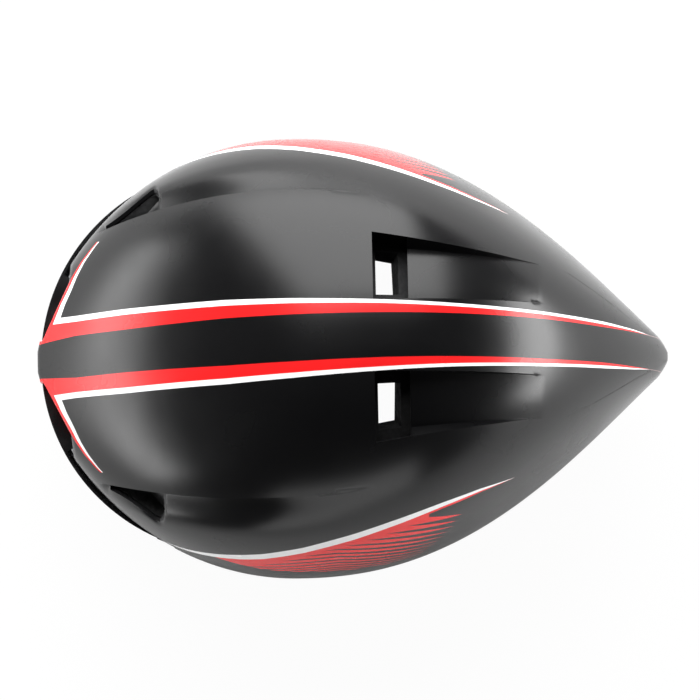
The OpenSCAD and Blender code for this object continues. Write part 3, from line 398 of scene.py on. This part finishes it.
# Materials
class Look:
    """A Principled material and short ways to add nodes to it."""

    def __init__(self, name, colour, roughness, **values):
        self.material = bpy.data.materials.new(name)
        self.material.use_nodes = True
        self.tree = self.material.node_tree
        self.shader = self.tree.nodes["Principled BSDF"]
        self.set("Base Color", (*colour, 1.0))
        self.set("Roughness", roughness)
        for key, value in values.items():
            self.set(key.replace("_", " "), value)

    def set(self, socket, value):
        self.shader.inputs[socket].default_value = value

    def node(self, kind, **inputs):
        node = self.tree.nodes.new(kind)
        for key, value in inputs.items():
            self.put(node.inputs[key.replace("_", " ")], value)
        return node

    def put(self, socket, value):
        if isinstance(value, bpy.types.NodeSocket):
            self.tree.links.new(value, socket)
        else:
            socket.default_value = value

    def maths(self, operation, *values):
        node = self.tree.nodes.new("ShaderNodeMath")
        node.operation = operation
        for socket, value in zip(node.inputs, values):
            self.put(socket, value)
        return node.outputs[0]

    def ramp(self, value, low, high, out_low=0.0, out_high=1.0):
        node = self.node("ShaderNodeMapRange", Value=value, From_Min=low, From_Max=high,
                         To_Min=out_low, To_Max=out_high)  # fmt: skip
        return node.outputs[0]

    def mix(self, factor, first, second):
        node = self.tree.nodes.new("ShaderNodeMix")
        node.data_type = "RGBA"
        for socket, value in ((0, factor), (6, first), (7, second)):
            self.put(node.inputs[socket], value)
        return node.outputs[2]

    def minus(self, first, second):
        return self.maths("SUBTRACT", first, second)

    def times(self, first, second):
        return self.maths("MULTIPLY", first, second)

    def least(self, *values):
        return functools.reduce(lambda a, b: self.maths("MINIMUM", a, b), values)

    def most(self, *values):
        return functools.reduce(lambda a, b: self.maths("MAXIMUM", a, b), values)

    def place(self):
        return self.tree.nodes.new("ShaderNodeTexCoord").outputs["Object"]

    def plan(self):
        """Distance from the centre line and station, in millimetres."""
        parts = self.node("ShaderNodeSeparateXYZ", Vector=self.place()).outputs
        return self.times(self.maths("ABSOLUTE", parts[0]), 1000.0), self.times(parts[1], 1000.0)

    def noise(self, scale, detail=3.0, roughness=0.5):
        return self.node("ShaderNodeTexNoise", Vector=self.place(), Scale=scale, Detail=detail,
                         Roughness=roughness).outputs[0]  # fmt: skip

    def cells(self, scale):
        node = self.node("ShaderNodeTexVoronoi", Vector=self.place(), Scale=scale)
        return node.outputs["Distance"]

    def value(self, name):
        node = self.tree.nodes.new("ShaderNodeAttribute")
        node.attribute_name = name
        return node.outputs["Fac"]

    def bump(self, height, distance, strength=1.0):
        before = self.shader.inputs["Normal"].links
        node = self.node("ShaderNodeBump", Height=height, Distance=distance, Strength=strength)
        if before:
            self.tree.links.new(before[0].from_socket, node.inputs["Normal"])
        self.tree.links.new(node.outputs[0], self.shader.inputs["Normal"])

    def drive(self, socket, value):
        self.tree.links.new(value, self.shader.inputs[socket])


WEDGE_START, WEDGE_PITCH, WEDGE_END, WEDGE_WIDTH = 34.4, 10.3, 52.0, 7.0
GRAPHIC_REAR, SIDE_RED_FRONT, SIDE_RED_SLOPE = 77.0, -71.0, 0.68
BROW_THIN_FROM, BROW_THIN_TO, BROW_STOP, SOFT = 17.0, 57.0, 1.9, 0.1
BLACK, WHITE, RED = (0.0022, 0.0022, 0.0025), (0.86, 0.86, 0.86), (0.76, 0.013, 0.014)


def paint_look():
    """Satin black with red and white graphics, drawn from the shell's values in millimetres."""
    look = Look("shell_paint", BLACK, 0.26, Specular_IOR_Level=0.32)
    dust = look.noise(35.0, 5.0, 0.6)
    black = look.mix(dust, (*BLACK, 1), (0.0032, 0.0032, 0.0035, 1))
    x, y = look.plan()
    # Centre stripes
    past_red, brow = look.value("past_red"), look.value("brow")
    red = look.least(look.value("past_inner"), look.minus(0.0, past_red))
    white = look.least(past_red, look.minus(0.0, look.value("past_white")), look.minus(brow, BROW_STOP))
    # Brow line, which thins out along the edge
    middle = look.ramp(x, BROW_THIN_FROM, BROW_THIN_TO, 3.05, 0.8)
    half = look.ramp(x, BROW_THIN_FROM, BROW_THIN_TO, 1.25, 0.2)
    off = look.maths("ABSOLUTE", look.minus(brow, middle))
    short = look.minus(BROW_THIN_TO, x)
    brow_white = look.least(look.minus(half, off), past_red, short)
    edge = look.minus(look.minus(middle, half), brow)
    brow_red = look.least(brow, edge, look.value("past_inner"), short)
    # Side graphic: a white line, and red below it that narrows to the front and the rear
    below, line = look.value("below"), look.value("line")
    side_white = look.minus(line, look.maths("ABSOLUTE", below))
    under = look.minus(below, line)
    front = look.minus(look.times(look.minus(y, SIDE_RED_FRONT), SIDE_RED_SLOPE), under)
    side_red = look.least(under, front, look.value("to_low"))
    kept = look.ramp(y, 50.0, GRAPHIC_REAR, 1.9, 0.0)
    black_share = look.least(wedges(look, y), look.minus(under, kept))
    side_red = look.least(side_red, look.minus(0.0, black_share), look.minus(GRAPHIC_REAR, y))
    red = look.most(red, brow_red, side_red)
    white = look.most(white, brow_white, side_white)
    red_coat = look.mix(dust, (*RED, 1), (0.72, 0.011, 0.012, 1))
    colour = look.mix(look.ramp(red, -SOFT, SOFT), black, red_coat)
    colour = look.mix(look.ramp(white, -SOFT, SOFT), colour, (*WHITE, 1))
    look.drive("Base Color", colour)
    look.drive("Roughness", look.ramp(look.noise(22.0, 4.0), 0.3, 0.7, 0.23, 0.29))
    look.bump(look.noise(900.0, 2.0), 0.00003, 0.5)
    return look.material


def wedges(look, y):
    """Black wedges between the red lines: they start one behind the other and close to the rear."""
    comb = look.most(look.value("comb"), 0.5)
    number = look.minus(comb, 0.5)
    start = look.minus(WEDGE_START, look.times(number, WEDGE_PITCH))
    end = look.minus(WEDGE_END, look.times(number, 2.0))
    run = look.minus(y, start)
    part = look.most(look.maths("DIVIDE", run, look.minus(end, start)), 0.0)
    begin = look.ramp(run, 0.0, 8.0, 0.0, 0.3)
    share = look.maths("ADD", begin, look.times(look.maths("POWER", part, 2.2), 0.72))
    off = look.maths("ABSOLUTE", look.minus(look.maths("FRACT", comb), 0.5))
    return look.least(look.times(look.minus(look.times(share, 0.5), off), WEDGE_WIDTH), run)


def raw_plastic_look(name, colour, roughness, grain=1400.0, depth=0.00004):
    """Moulded plastic with a fine grain and slightly uneven gloss."""
    look = Look(name, colour, roughness)
    tone = tuple(min(1.0, c * 1.35) for c in colour)
    look.drive("Base Color", look.mix(look.noise(60.0, 5.0), (*colour, 1), (*tone, 1)))
    gloss = look.ramp(look.noise(90.0, 4.0), 0.3, 0.7, roughness - 0.06, roughness + 0.06)
    look.drive("Roughness", gloss)
    look.bump(look.noise(grain, 3.0, 0.6), depth, 0.6)
    return look.material


def foam_look():
    """Expanded foam: beads of 2 to 3 mm pressed together."""
    look = Look("foam_beads", (0.012, 0.012, 0.013), 0.72, Specular_IOR_Level=0.35)
    bead = look.cells(420.0)
    shade = look.mix(look.ramp(bead, 0.0, 0.7), (0.02, 0.02, 0.021, 1), (0.006, 0.006, 0.0065, 1))
    look.drive("Base Color", look.mix(look.noise(180.0), shade, (0.014, 0.014, 0.0145, 1)))
    look.bump(look.minus(1.0, bead), 0.0004, 0.8)
    look.bump(look.noise(2500.0), 0.00005, 0.4)
    return look.material


# Distance of the pads' seam from their edge, in millimetres
SEAM = 2.6


def padding_look():
    """Knitted mesh over foam: rows of small loops."""
    look = Look("pad_knit", (0.018, 0.018, 0.02), 0.9, Sheen_Weight=0.5, Sheen_Roughness=0.4)
    across = look.maths("SINE", look.times(look.value("across"), 3.9))
    along = look.maths("SINE", look.times(look.value("along"), 3.9))
    loops = look.times(look.maths("ABSOLUTE", across), look.maths("ABSOLUTE", along))
    shade = look.mix(loops, (0.008, 0.008, 0.009, 1), (0.032, 0.032, 0.035, 1))
    from_seam = look.maths("ABSOLUTE", look.minus(look.value("edge"), SEAM))
    seam = look.ramp(from_seam, 0.25, 0.6)
    stitch = look.maths("GREATER_THAN", look.noise(700.0), 0.5)
    thread = look.mix(stitch, (0.01, 0.01, 0.011, 1), (0.09, 0.09, 0.095, 1))
    look.drive("Base Color", look.mix(seam, thread, shade))
    look.bump(loops, 0.00035, 0.8)
    return look.material


def webbing_look():
    """Woven polyester: ribs along the strap, picks across it, a firm edge."""
    look = Look("webbing_weave", (0.012, 0.012, 0.013), 0.75, Sheen_Weight=0.35)
    ribs = look.maths("SINE", look.times(look.value("across"), 6.0))
    picks = look.maths("SINE", look.times(look.value("along"), 5.2))
    weave = look.times(ribs, picks)
    shade = look.mix(look.ramp(weave, -1, 1), (0.007, 0.007, 0.008, 1), (0.027, 0.027, 0.03, 1))
    fray = look.noise(300.0, 4.0)
    look.drive("Base Color", look.mix(look.ramp(fray, 0.45, 0.8), shade, (0.035, 0.035, 0.037, 1)))
    look.bump(weave, 0.00012, 0.8)
    return look.material


def lens_look():
    """Smoked lens with a little haze."""
    look = Look("lens_smoke", (0.30, 0.31, 0.32), 0.02, Transmission_Weight=1.0, IOR=1.45)
    look.drive("Roughness", look.ramp(look.noise(40.0, 5.0), 0.4, 0.8, 0.015, 0.06))
    look.bump(look.noise(14.0, 2.0), 0.00005, 0.2)
    return look.material


def rubber_look():
    look = Look("dial_rubber", (0.011, 0.011, 0.012), 0.62, Specular_IOR_Level=0.4)
    worn = look.ramp(look.noise(120.0, 6.0), 0.55, 0.8)
    look.drive("Base Color", look.mix(worn, (0.011, 0.011, 0.012, 1), (0.03, 0.03, 0.031, 1)))
    look.bump(look.cells(1500.0), 0.00006, 0.6)
    return look.material


def steel_look():
    look = Look("steel_brushed", (0.56, 0.56, 0.57), 0.3, Metallic=1.0)
    stretched = look.node("ShaderNodeMapping", Vector=look.place(), Scale=(60, 900, 900)).outputs[0]
    scratches = look.node("ShaderNodeTexNoise", Vector=stretched, Scale=1.0, Detail=4.0).outputs[0]
    look.drive("Roughness", look.ramp(scratches, 0.3, 0.7, 0.22, 0.42))
    look.bump(scratches, 0.00002, 0.5)
    return look.material


LOOKS = {
    "shell_black": paint_look(),
    "raw": raw_plastic_look("shell_inside", (0.011, 0.011, 0.012), 0.5),
    "foam": foam_look(),
    "lens": lens_look(),
    "trim": raw_plastic_look("trim_gloss", (0.004, 0.004, 0.0045), 0.22, 300.0, 0.000002),
    "padding": padding_look(),
    "fit_plastic": raw_plastic_look("fit_plastic", (0.014, 0.014, 0.015), 0.42),
    "buckle": raw_plastic_look("buckle_plastic", (0.011, 0.011, 0.012), 0.3, 1800.0),
    "webbing": webbing_look(),
    "dial": rubber_look(),
    "steel": steel_look(),
}


def stand_for(obj, body, slot, *nodes):
    """The piece rides on a body and replaces CAD nodes; slot is not used."""
    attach(obj, body)
    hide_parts(*nodes)


# Shell
# Centre stripes: station, then distance of red's inner and outer and white's outer edge
STRIPES = np.array(
    [(-158, 8.3, 18.2, 20.9), (-150, 9.2, 17.7, 20.6), (-137, 10.5, 17.6, 20.4)]
    + [(-112, 10.7, 18.2, 21.0), (-62, 11.9, 18.2, 21.0), (-30, 11.8, 17.4, 19.9)]
    + [(10, 11.3, 16.0, 17.9), (50, 10.8, 14.2, 15.7), (93, 10.0, 12.2, 13.6)]
    + [(123, 8.9, 10.3, 11.6), (138, 8.7, 9.4, 10.0), (147, 8.5, 8.5, 8.5), (158, 8, 8, 8)],
    float,
)
# Side graphic: station, then the white line's middle and width, measured down over the skin
SIDE_LINE = np.array(
    [(-97, 121.6, -0.4), (-92, 122.6, 1.6), (-87, 123.5, 3.0), (-77, 124.6, 4.2)]
    + [(-67, 125.2, 4.9), (-57, 125.4, 5.5), (-47, 125.0, 5.8), (-27, 121.5, 5.5)]
    + [(-2, 113.6, 5.4), (22, 104.2, 4.6), (41, 96.2, 3.5), (60, 89.0, 2.1), (78, 84.5, 0.0)],
    float,
)
SIDE_RED_LOW, BROW_SLANT = 176.0, 0.87
# Outer edge of the brow graphic: distance from the centre line, then station
BROW_EDGE = np.array(
    [(0, -159.5), (10.1, -154.4), (26.7, -146.5), (33.7, -142.4), (40.7, -138.7), (47.6, -134.2)]
    + [(54.6, -128.4), (62, -121)],
    float,
)


def paint_values(points, smooth):
    """Distances to the graphics. smooth is the net without groove and outlet."""
    x, y, z = np.moveaxis(points, -1, 0)
    scale = 1 - (z - CAMERA_AIM[2]) / CAMERA_DISTANCE
    inner, outer, edge = (np.interp(y, STRIPES[:, 0], STRIPES[:, i]) * scale for i in (1, 2, 3))
    brow = (y - np.interp(x, BROW_EDGE[:, 0], BROW_EDGE[:, 1])) * BROW_SLANT
    steps = np.linalg.norm(np.diff(smooth, axis=1), axis=2)
    arc = np.concatenate([np.zeros((len(smooth), 1)), np.cumsum(steps, axis=1)], axis=1)
    line = np.interp(y, SIDE_LINE[:, 0], SIDE_LINE[:, 1])
    width = np.interp(y, SIDE_LINE[:, 0], SIDE_LINE[:, 2], left=-2.0, right=-2.0)
    along = np.clip((50.0 - y) / WEDGE_PITCH, -3, 14)
    first = 107.0 - 0.9 * along + 0.02 * along**2
    pitch = WEDGE_WIDTH - 2.6 * np.clip((50.0 - y) / 60.0, 0, 1)
    return {
        "past_inner": x - inner, "past_red": x - outer, "past_white": x - edge, "brow": brow,
        "below": arc - line, "line": width / 2, "to_low": SIDE_RED_LOW - arc,
        "comb": (arc - first) / pitch + 0.5,
    }  # fmt: skip


def make_shell():
    rows, inner_rows = fine_rows(0, 0), fine_rows(WALL, 0)
    outer = half_net(rows, 0.0, 0.0, rim_height(rows))
    inner = half_net(inner_rows, WALL, WALL, rim_height(inner_rows))
    smooth = skin(rows[:, None], net_angles(rows, 0.0, 0.0, rim_height(rows)))
    values = paint_values(outer, smooth)
    holes = (
        (OUTLET_FRONT, OUTLET_REAR, 2, 7),
        (MOUTH_FRONT, MOUTH_REAR, 11, 12),
    )
    shell = double_net(
        "painted_shell",
        pole(whole_net(outer), ((0, NOSE, BROW_RIM), (0, TAIL, TAIL_RIM))),
        pole(whole_net(inner), ((0, nose_end(WALL), BROW_RIM), (0, tail_end(WALL), TAIL_RIM))),
        open_cells(rows, holes),
        (LOOKS["shell_black"], LOOKS["raw"]),
    )
    for name, half in values.items():
        both = np.concatenate([half[:, :0:-1], half], axis=1)
        point_values(shell, name, [both, np.full_like(both, -1.0)])
    weld(shell)
    return shell


def head_point(points):
    """Where the foam's inner wall faces each point of its outer skin."""
    x, y, z = points[..., 0], points[..., 1] - HEAD_CENTRE, points[..., 2]
    up = above(z - HEAD_LEVEL)
    wall = 1 / np.sqrt(
        (x / HEAD_HALF_WIDTH) ** 2 + (y / HEAD_HALF_LENGTH) ** 2 + (up / HEAD_RISE) ** 2
    )
    beside = CRADLE_POCKET_HALF / np.maximum(np.abs(x), 0.01)
    behind = (CRADLE_POCKET_REAR - HEAD_CENTRE) / np.maximum(y, 0.01)
    corner = CRADLE_POCKET_CORNER / np.maximum(np.abs(x) + y, 0.01)
    room = np.minimum(np.minimum(beside, behind), corner)
    pocket = np.where((z < CRADLE_POCKET_TOP) & (y > 0), room, 0)
    t = np.maximum(wall, np.minimum(pocket, 1))
    return np.stack([x * t, HEAD_CENTRE + y * t, z - up + up * t], axis=-1)


def make_liner():
    inset = WALL + LINER_GAP
    rows = fine_rows(inset, inset)
    outer = whole_net(half_net(rows, inset, inset, liner_rim_height(rows), POCKET_DEPTH))
    duct = OUTLET_FRONT + DUCT_START
    holes = ((duct, duct + DUCT_LENGTH, 4, 5), (MOUTH_FRONT, MOUTH_REAR, 11, 12))
    ends = np.array([(0, rows[0], SHELF), (0, rows[-1], TAIL_RIM + LINER_SETBACK)])
    liner = double_net(
        "foam_liner",
        pole(outer, ends),
        pole(head_point(outer), head_point(ends)),
        open_cells(rows, holes),
        (LOOKS["foam"], LOOKS["foam"]),
    )
    weld(liner)
    return liner


stand_for(make_shell(), "helmet", "shell_black", "outer_shell")
stand_for(make_liner(), "helmet", "foam", "eps_liner")


# Pads
PAD_PITCH = 1.6
PAD_THICKNESS, PAD_CLEAR, BROW_RADIUS = 6.0, 1.0, 84.0
PAD_WALL = [v - PAD_CLEAR for v in (HEAD_HALF_WIDTH, HEAD_HALF_LENGTH, HEAD_RISE)]


def rounded_box(p, q, centre, size, radius):
    """Distance inside a rectangle with round corners."""
    dx = np.abs(p - centre[0]) - size[0] / 2 + radius
    dy = np.abs(q - centre[1]) - size[1] / 2 + radius
    outside = np.hypot(above(dx), above(dy)) + np.minimum(np.maximum(dx, dy), 0)
    return radius - outside


def pad(name, node, body, field, low, high, wall, thickness, channels=()):
    """A quilted pad on a wall. field gives the distance inside its outline, wall its foot and normal."""
    counts = [int((b - a) / PAD_PITCH) + 3 for a, b in zip(low, high)]
    p, q = np.meshgrid(
        np.linspace(low[0] - PAD_PITCH, high[0] + PAD_PITCH, counts[0]),
        np.linspace(low[1] - PAD_PITCH, high[1] + PAD_PITCH, counts[1]),
        indexing="ij",
    )
    for _ in range(3):
        d = field(p, q)
        gp = (field(p + 0.1, q) - field(p - 0.1, q)) / 0.2
        gq = (field(p, q + 0.1) - field(p, q - 0.1)) / 0.2
        near = np.abs(d) < PAD_PITCH * 0.62
        p, q = p - np.where(near, d * gp, 0), q - np.where(near, d * gq, 0)
    d = field(p, q)
    inside = d > -0.05
    keep = inside[:-1, :-1] & inside[1:, :-1] & inside[:-1, 1:] & inside[1:, 1:]
    depth = np.clip(d, 0, None)
    crown = (1 - (1 - np.clip(depth / 5.5, 0, 1)) ** 2.4) ** 0.6
    for axis, place in channels:
        across = (p if axis == 0 else q) - place
        crown = crown * (1 - 0.42 * np.exp(-((across / 1.3) ** 2)))
    seam = 0.8 * np.exp(-(((depth - SEAM) / 0.55) ** 2))
    foot, normal = wall(p, q)
    face = foot + normal * (np.maximum(0.5, thickness * crown - seam))[..., None]
    back = foot + normal * (0.12 * np.clip(1 - depth / 2.0, 0, 1))[..., None]
    obj = double_net(name, face, back, ~keep, (LOOKS["padding"], LOOKS["padding"]))
    for key, value in (("across", p), ("along", q), ("edge", depth)):
        point_values(obj, key, [value, value if key != "edge" else np.full_like(value, 9.0)])
    weld(obj)
    face_outwards(obj)
    stand_for(obj, body, "padding", node)


def dome_wall(x, y):
    """Foot and inward normal on the dome over a point of the plan."""
    a, b, h = PAD_WALL
    yy = y - HEAD_CENTRE
    rise = h * np.sqrt(above(1 - (x / a) ** 2 - (yy / b) ** 2))
    foot = np.stack([x, y, HEAD_LEVEL + rise], axis=-1)
    return foot, inward(x / a**2, yy / b**2, rise / h**2)


def side_wall(side):
    """Foot and inward normal on the wall over a station and a height."""

    def wall(y, z):
        a, b, h = PAD_WALL
        yy, up = y - HEAD_CENTRE, above(z - HEAD_LEVEL)
        x = side * a * np.sqrt(above(1 - (yy / b) ** 2 - (up / h) ** 2))
        return np.stack([x, y, z], axis=-1), inward(x / a**2, yy / b**2, up / h**2)

    return wall


def brow_wall(angle, z):
    """The same over an angle round the head, in millimetres of arc at the front."""
    a, b, h = PAD_WALL
    t, up = angle / BROW_RADIUS, above(z - HEAD_LEVEL)
    share = np.sqrt(1 - (up / h) ** 2)
    x, yy = a * np.sin(t) * share, -b * np.cos(t) * share
    return np.stack([x, yy + HEAD_CENTRE, z], axis=-1), inward(x / a**2, yy / b**2, up / h**2)


def inward(nx, ny, nz):
    n = -np.stack(np.broadcast_arrays(nx, ny, nz), axis=-1)
    return n / np.linalg.norm(n, axis=-1, keepdims=True)


def crown_field(x, y):
    spine = rounded_box(x, y, (0, -25), (24, 118), 8)
    front = rounded_box(x, y, (0, -57), (72, 18), 8)
    rear = rounded_box(x, y, (0, -17), (80, 18), 8)
    return np.maximum(np.maximum(spine, front), rear)


def side_field(y, z):
    return rounded_box(y, z, (HEAD_CENTRE, 100), (66, 24), 9)


def brow_field(p, z):
    droop = 2.5 * (p / 50) ** 2
    return rounded_box(p, z + droop, (0, 103.5), (112, 21), 9)


pad("crown_cushion", "crown_pad", "helmet", crown_field, (-40, -84), (40, 34), dome_wall,
    PAD_THICKNESS, ((1, -37), (1, 2)))  # fmt: skip
for side, label in ((1, "left"), (-1, "right")):
    pad(f"{label}_side_cushion", f"{label}_side_pad", "helmet", side_field, (-45, 88), (21, 112),
        side_wall(side), PAD_THICKNESS, ((0, HEAD_CENTRE),))  # fmt: skip
pad("brow_cushion", "brow_pad", "helmet", brow_field, (-56, 90), (56, 116), brow_wall,
    PAD_THICKNESS - 1, ((0, -18), (0, 18)))  # fmt: skip

# The cradle's arc round the back of the head, and how far the pads stand off it
REAR_ARC, REAR_ARC_Y, WING_CLEAR = 61.98, 29.02, 1.4


def wing_wall(angle, z):
    """The cradle's wing, over an arc round the back of the head."""
    r = REAR_ARC - WING_CLEAR
    t = angle / r
    foot = np.stack([r * np.sin(t), REAR_ARC_Y + r * np.cos(t), z], axis=-1)
    return foot, inward(np.sin(t), np.cos(t), 0 * t)


def nape_field(p, z):
    left = rounded_box(p, z, (46.0, 53), (20, 17), 6)
    return np.maximum(left, rounded_box(p, z, (-46.0, 53), (20, 17), 6))


pad("nape_cushions", "nape_pads", "cradle", nape_field, (-57, 44), (57, 62), wing_wall, 5.0)


# Webbing
WEB_THICKNESS = 1.2


def ribbon(name, middle, across, widths):
    """A strap with soft edges along points, with the direction across it at each."""
    middle, across = np.asarray(middle, float), np.asarray(across, float)
    across /= np.linalg.norm(across, axis=1, keepdims=True)
    ahead = np.gradient(middle, axis=0)
    ahead /= np.linalg.norm(ahead, axis=1, keepdims=True)
    out = np.cross(ahead, across)
    steps = np.linspace(-1, 1, 9)
    half = WEB_THICKNESS / 2 * np.array([0.35, 0.9, 1, 0.96, 0.94, 0.96, 1, 0.9, 0.35])
    ring = [(s, h) for s, h in zip(steps, half)] + [(s, -h) for s, h in zip(steps, half)][::-1]
    widths = np.broadcast_to(widths, len(middle))
    points = [
        m + a * s * w / 2 + o * h for m, a, o, w in zip(middle, across, out, widths) for s, h in ring
    ]
    n, rows = len(ring), len(middle)
    faces = [
        (i * n + j, i * n + (j + 1) % n, (i + 1) * n + (j + 1) % n, (i + 1) * n + j)
        for i in range(rows - 1)
        for j in range(n)
    ]
    faces += [tuple(range(n))[::-1], tuple(range((rows - 1) * n, rows * n))]
    obj = mesh_object(name, points, faces, 60)
    travel = np.concatenate([[0], np.cumsum(np.linalg.norm(np.diff(middle, axis=0), axis=1))])
    point_values(obj, "along", np.repeat(travel, n))
    point_values(obj, "across", np.concatenate([[s * w / 2 for s, _ in ring] for w in widths]))
    obj.data.materials.append(LOOKS["webbing"])
    return obj


def node_points(node):
    """The corners of a CAD node's mesh, in millimetres."""
    mesh = NODES[node].data
    points = np.empty(len(mesh.vertices) * 3)
    mesh.vertices.foreach_get("co", points)
    return points.reshape(-1, 3) / MM


def leg_webbing(node):
    """Follows its solid from the anchor down to the divider, bowed in a little."""
    points = node_points(node)
    order = points[:, 2].argsort()
    foot, head = points[order[:8]], points[order[-8:]]
    side = math.copysign(1, points[:, 0].mean())
    low, high = foot.mean(axis=0), head.mean(axis=0)
    low[2], high[2] = points[:, 2].min() + 0.2, points[:, 2].max() - 0.2
    t = np.linspace(0, 1, 24)[:, None]
    middle = low + (high - low) * t
    middle[:, 0] -= side * 0.5 * np.sin(np.pi * t[:, 0])
    widths = np.linspace(np.ptp(foot[:, 1]), np.ptp(head[:, 1]), 24)
    return ribbon(f"{node}_webbing", middle, np.tile([0.0, 1.0, 0.0], (24, 1)), widths)


for node in ("left_front_strap", "left_rear_strap", "right_front_strap", "right_rear_strap"):
    stand_for(leg_webbing(node), "helmet", "webbing", node)

CHIN_REACH, CHIN_DEPTH, CHIN_START, CHIN_POWER = 76.8, 76.0, -14.3, 2.4
STRAP_LOW, WEB_WIDTH, BUCKLE_HALF = 1.8, 14.0, 22.0


def chin_webbing(node, side):
    """Round from the divider to the buckle, standing on its edge."""
    end = math.acos(((BUCKLE_HALF + 0.3) / CHIN_REACH) ** (CHIN_POWER / 2))
    t = np.linspace(0, end, 72)
    x = side * CHIN_REACH * np.cos(t) ** (2 / CHIN_POWER)
    y = CHIN_START - CHIN_DEPTH * np.sin(t) ** (2 / CHIN_POWER)
    middle = np.stack([x, y, np.full_like(x, STRAP_LOW + WEB_WIDTH / 2)], axis=-1)
    return ribbon(f"{node}_webbing", middle, np.tile([0.0, 0.0, 1.0], (72, 1)), WEB_WIDTH)


stand_for(chin_webbing("right_chin_strap", -1), "helmet", "webbing", "right_chin_strap")

# The left half ends at the buckle's plug; it is attached to no body
left_chin = chin_webbing("left_chin_strap", 1)
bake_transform(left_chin)  # fmt: skip
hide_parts("left_chin_strap")


# CAD nodes that stay
SHOWN = {entry["node"]: entry["material_slot"] for entry in frame["record"]["subparts"]}
for node, slot in SHOWN.items():
    mesh = NODES[node].data
    mesh.materials.clear()
    mesh.materials.append(LOOKS[slot])


# Floor, light, camera
FLOOR_HALF, FLOOR_GLOW, WORLD_LIGHT = 4000, 0.96, 0.05


def floor():
    """White to the camera and through the openings, with a share of real paper for the shadow."""
    look = Look("floor_paper", (0.9, 0.9, 0.9), 0.9)
    tree = look.tree
    path = tree.nodes.new("ShaderNodeLightPath").outputs
    seen = look.maths("MAXIMUM", path["Is Camera Ray"], path["Is Transmission Ray"])
    glow = tree.nodes.new("ShaderNodeEmission")
    glow.inputs["Color"].default_value = (1, 1, 1, 1)
    blend = tree.nodes.new("ShaderNodeMixShader")
    look.put(blend.inputs[0], look.times(seen, FLOOR_GLOW))
    look.put(blend.inputs[1], look.shader.outputs[0])
    look.put(blend.inputs[2], glow.outputs[0])
    tree.links.new(blend.outputs[0], tree.nodes["Material Output"].inputs["Surface"])
    corners = [(x * FLOOR_HALF, y * FLOOR_HALF, 0) for x, y in ((-1, -1), (1, -1), (1, 1), (-1, 1))]
    plane = mesh_object("floor", corners, [(0, 1, 2, 3)])
    plane.data.materials.append(look.material)


def lamp(name, place, size, power, aim=(0, 0, 120)):
    data = bpy.data.lights.new(name, "AREA")
    data.shape, data.size, data.size_y, data.energy = "RECTANGLE", size[0], size[1], power
    obj = bpy.data.objects.new(name, data)
    bpy.context.scene.collection.objects.link(obj)
    here = Vector(place) * MM
    toward = Vector(aim) * MM - here
    obj.matrix_world = Matrix.Translation(here) @ toward.to_track_quat("-Z", "Y").to_matrix().to_4x4()


def world():
    """White to the camera, and a faint even light on the object."""
    w = bpy.data.worlds.new("studio")
    bpy.context.scene.world = w
    w.use_nodes = True
    tree = w.node_tree
    path = tree.nodes.new("ShaderNodeLightPath").outputs
    background = tree.nodes["Background"]
    direct = tree.nodes.new("ShaderNodeMath")
    direct.operation = "MAXIMUM"
    tree.links.new(path["Is Camera Ray"], direct.inputs[0])
    tree.links.new(path["Is Transmission Ray"], direct.inputs[1])
    strength = tree.nodes.new("ShaderNodeMapRange")
    tree.links.new(direct.outputs[0], strength.inputs["Value"])
    strength.inputs["To Min"].default_value = WORLD_LIGHT
    strength.inputs["To Max"].default_value = 1.0
    tree.links.new(strength.outputs[0], background.inputs["Strength"])
    background.inputs["Color"].default_value = (1, 1, 1, 1)


def camera():
    """Above the helmet, leaning to its left side, nose to the left of the picture."""
    data = bpy.data.cameras.new("camera")
    data.sensor_width = SENSOR
    data.lens = SENSOR * CAMERA_DISTANCE / VIEW_WIDTH
    data.clip_end = 20.0
    obj = bpy.data.objects.new("camera", data)
    bpy.context.scene.collection.objects.link(obj)
    back = Vector((math.sin(CAMERA_TILT), 0, math.cos(CAMERA_TILT)))
    right = Matrix.Rotation(CAMERA_ROLL, 3, back) @ Vector((0, 1, 0))
    up = back.cross(right)
    turn = Matrix((right, up, back)).transposed().to_4x4()
    obj.matrix_world = Matrix.Translation((CAMERA_AIM + back * CAMERA_DISTANCE) * MM) @ turn
    bpy.context.scene.camera = obj


floor()
lamp("key", (-1700, -200, 1320), (2.6, 2.9), 160)
lamp("tail", (0, 1900, 240), (2.0, 0.6), 54)
lamp("nose", (0, -1900, 160), (2.6, 0.4), 30)
lamp("side", (1750, 0, 350), (1.6, 0.6), 7)
world()
camera()
scene = bpy.context.scene
scene.view_settings.view_transform = "Standard"
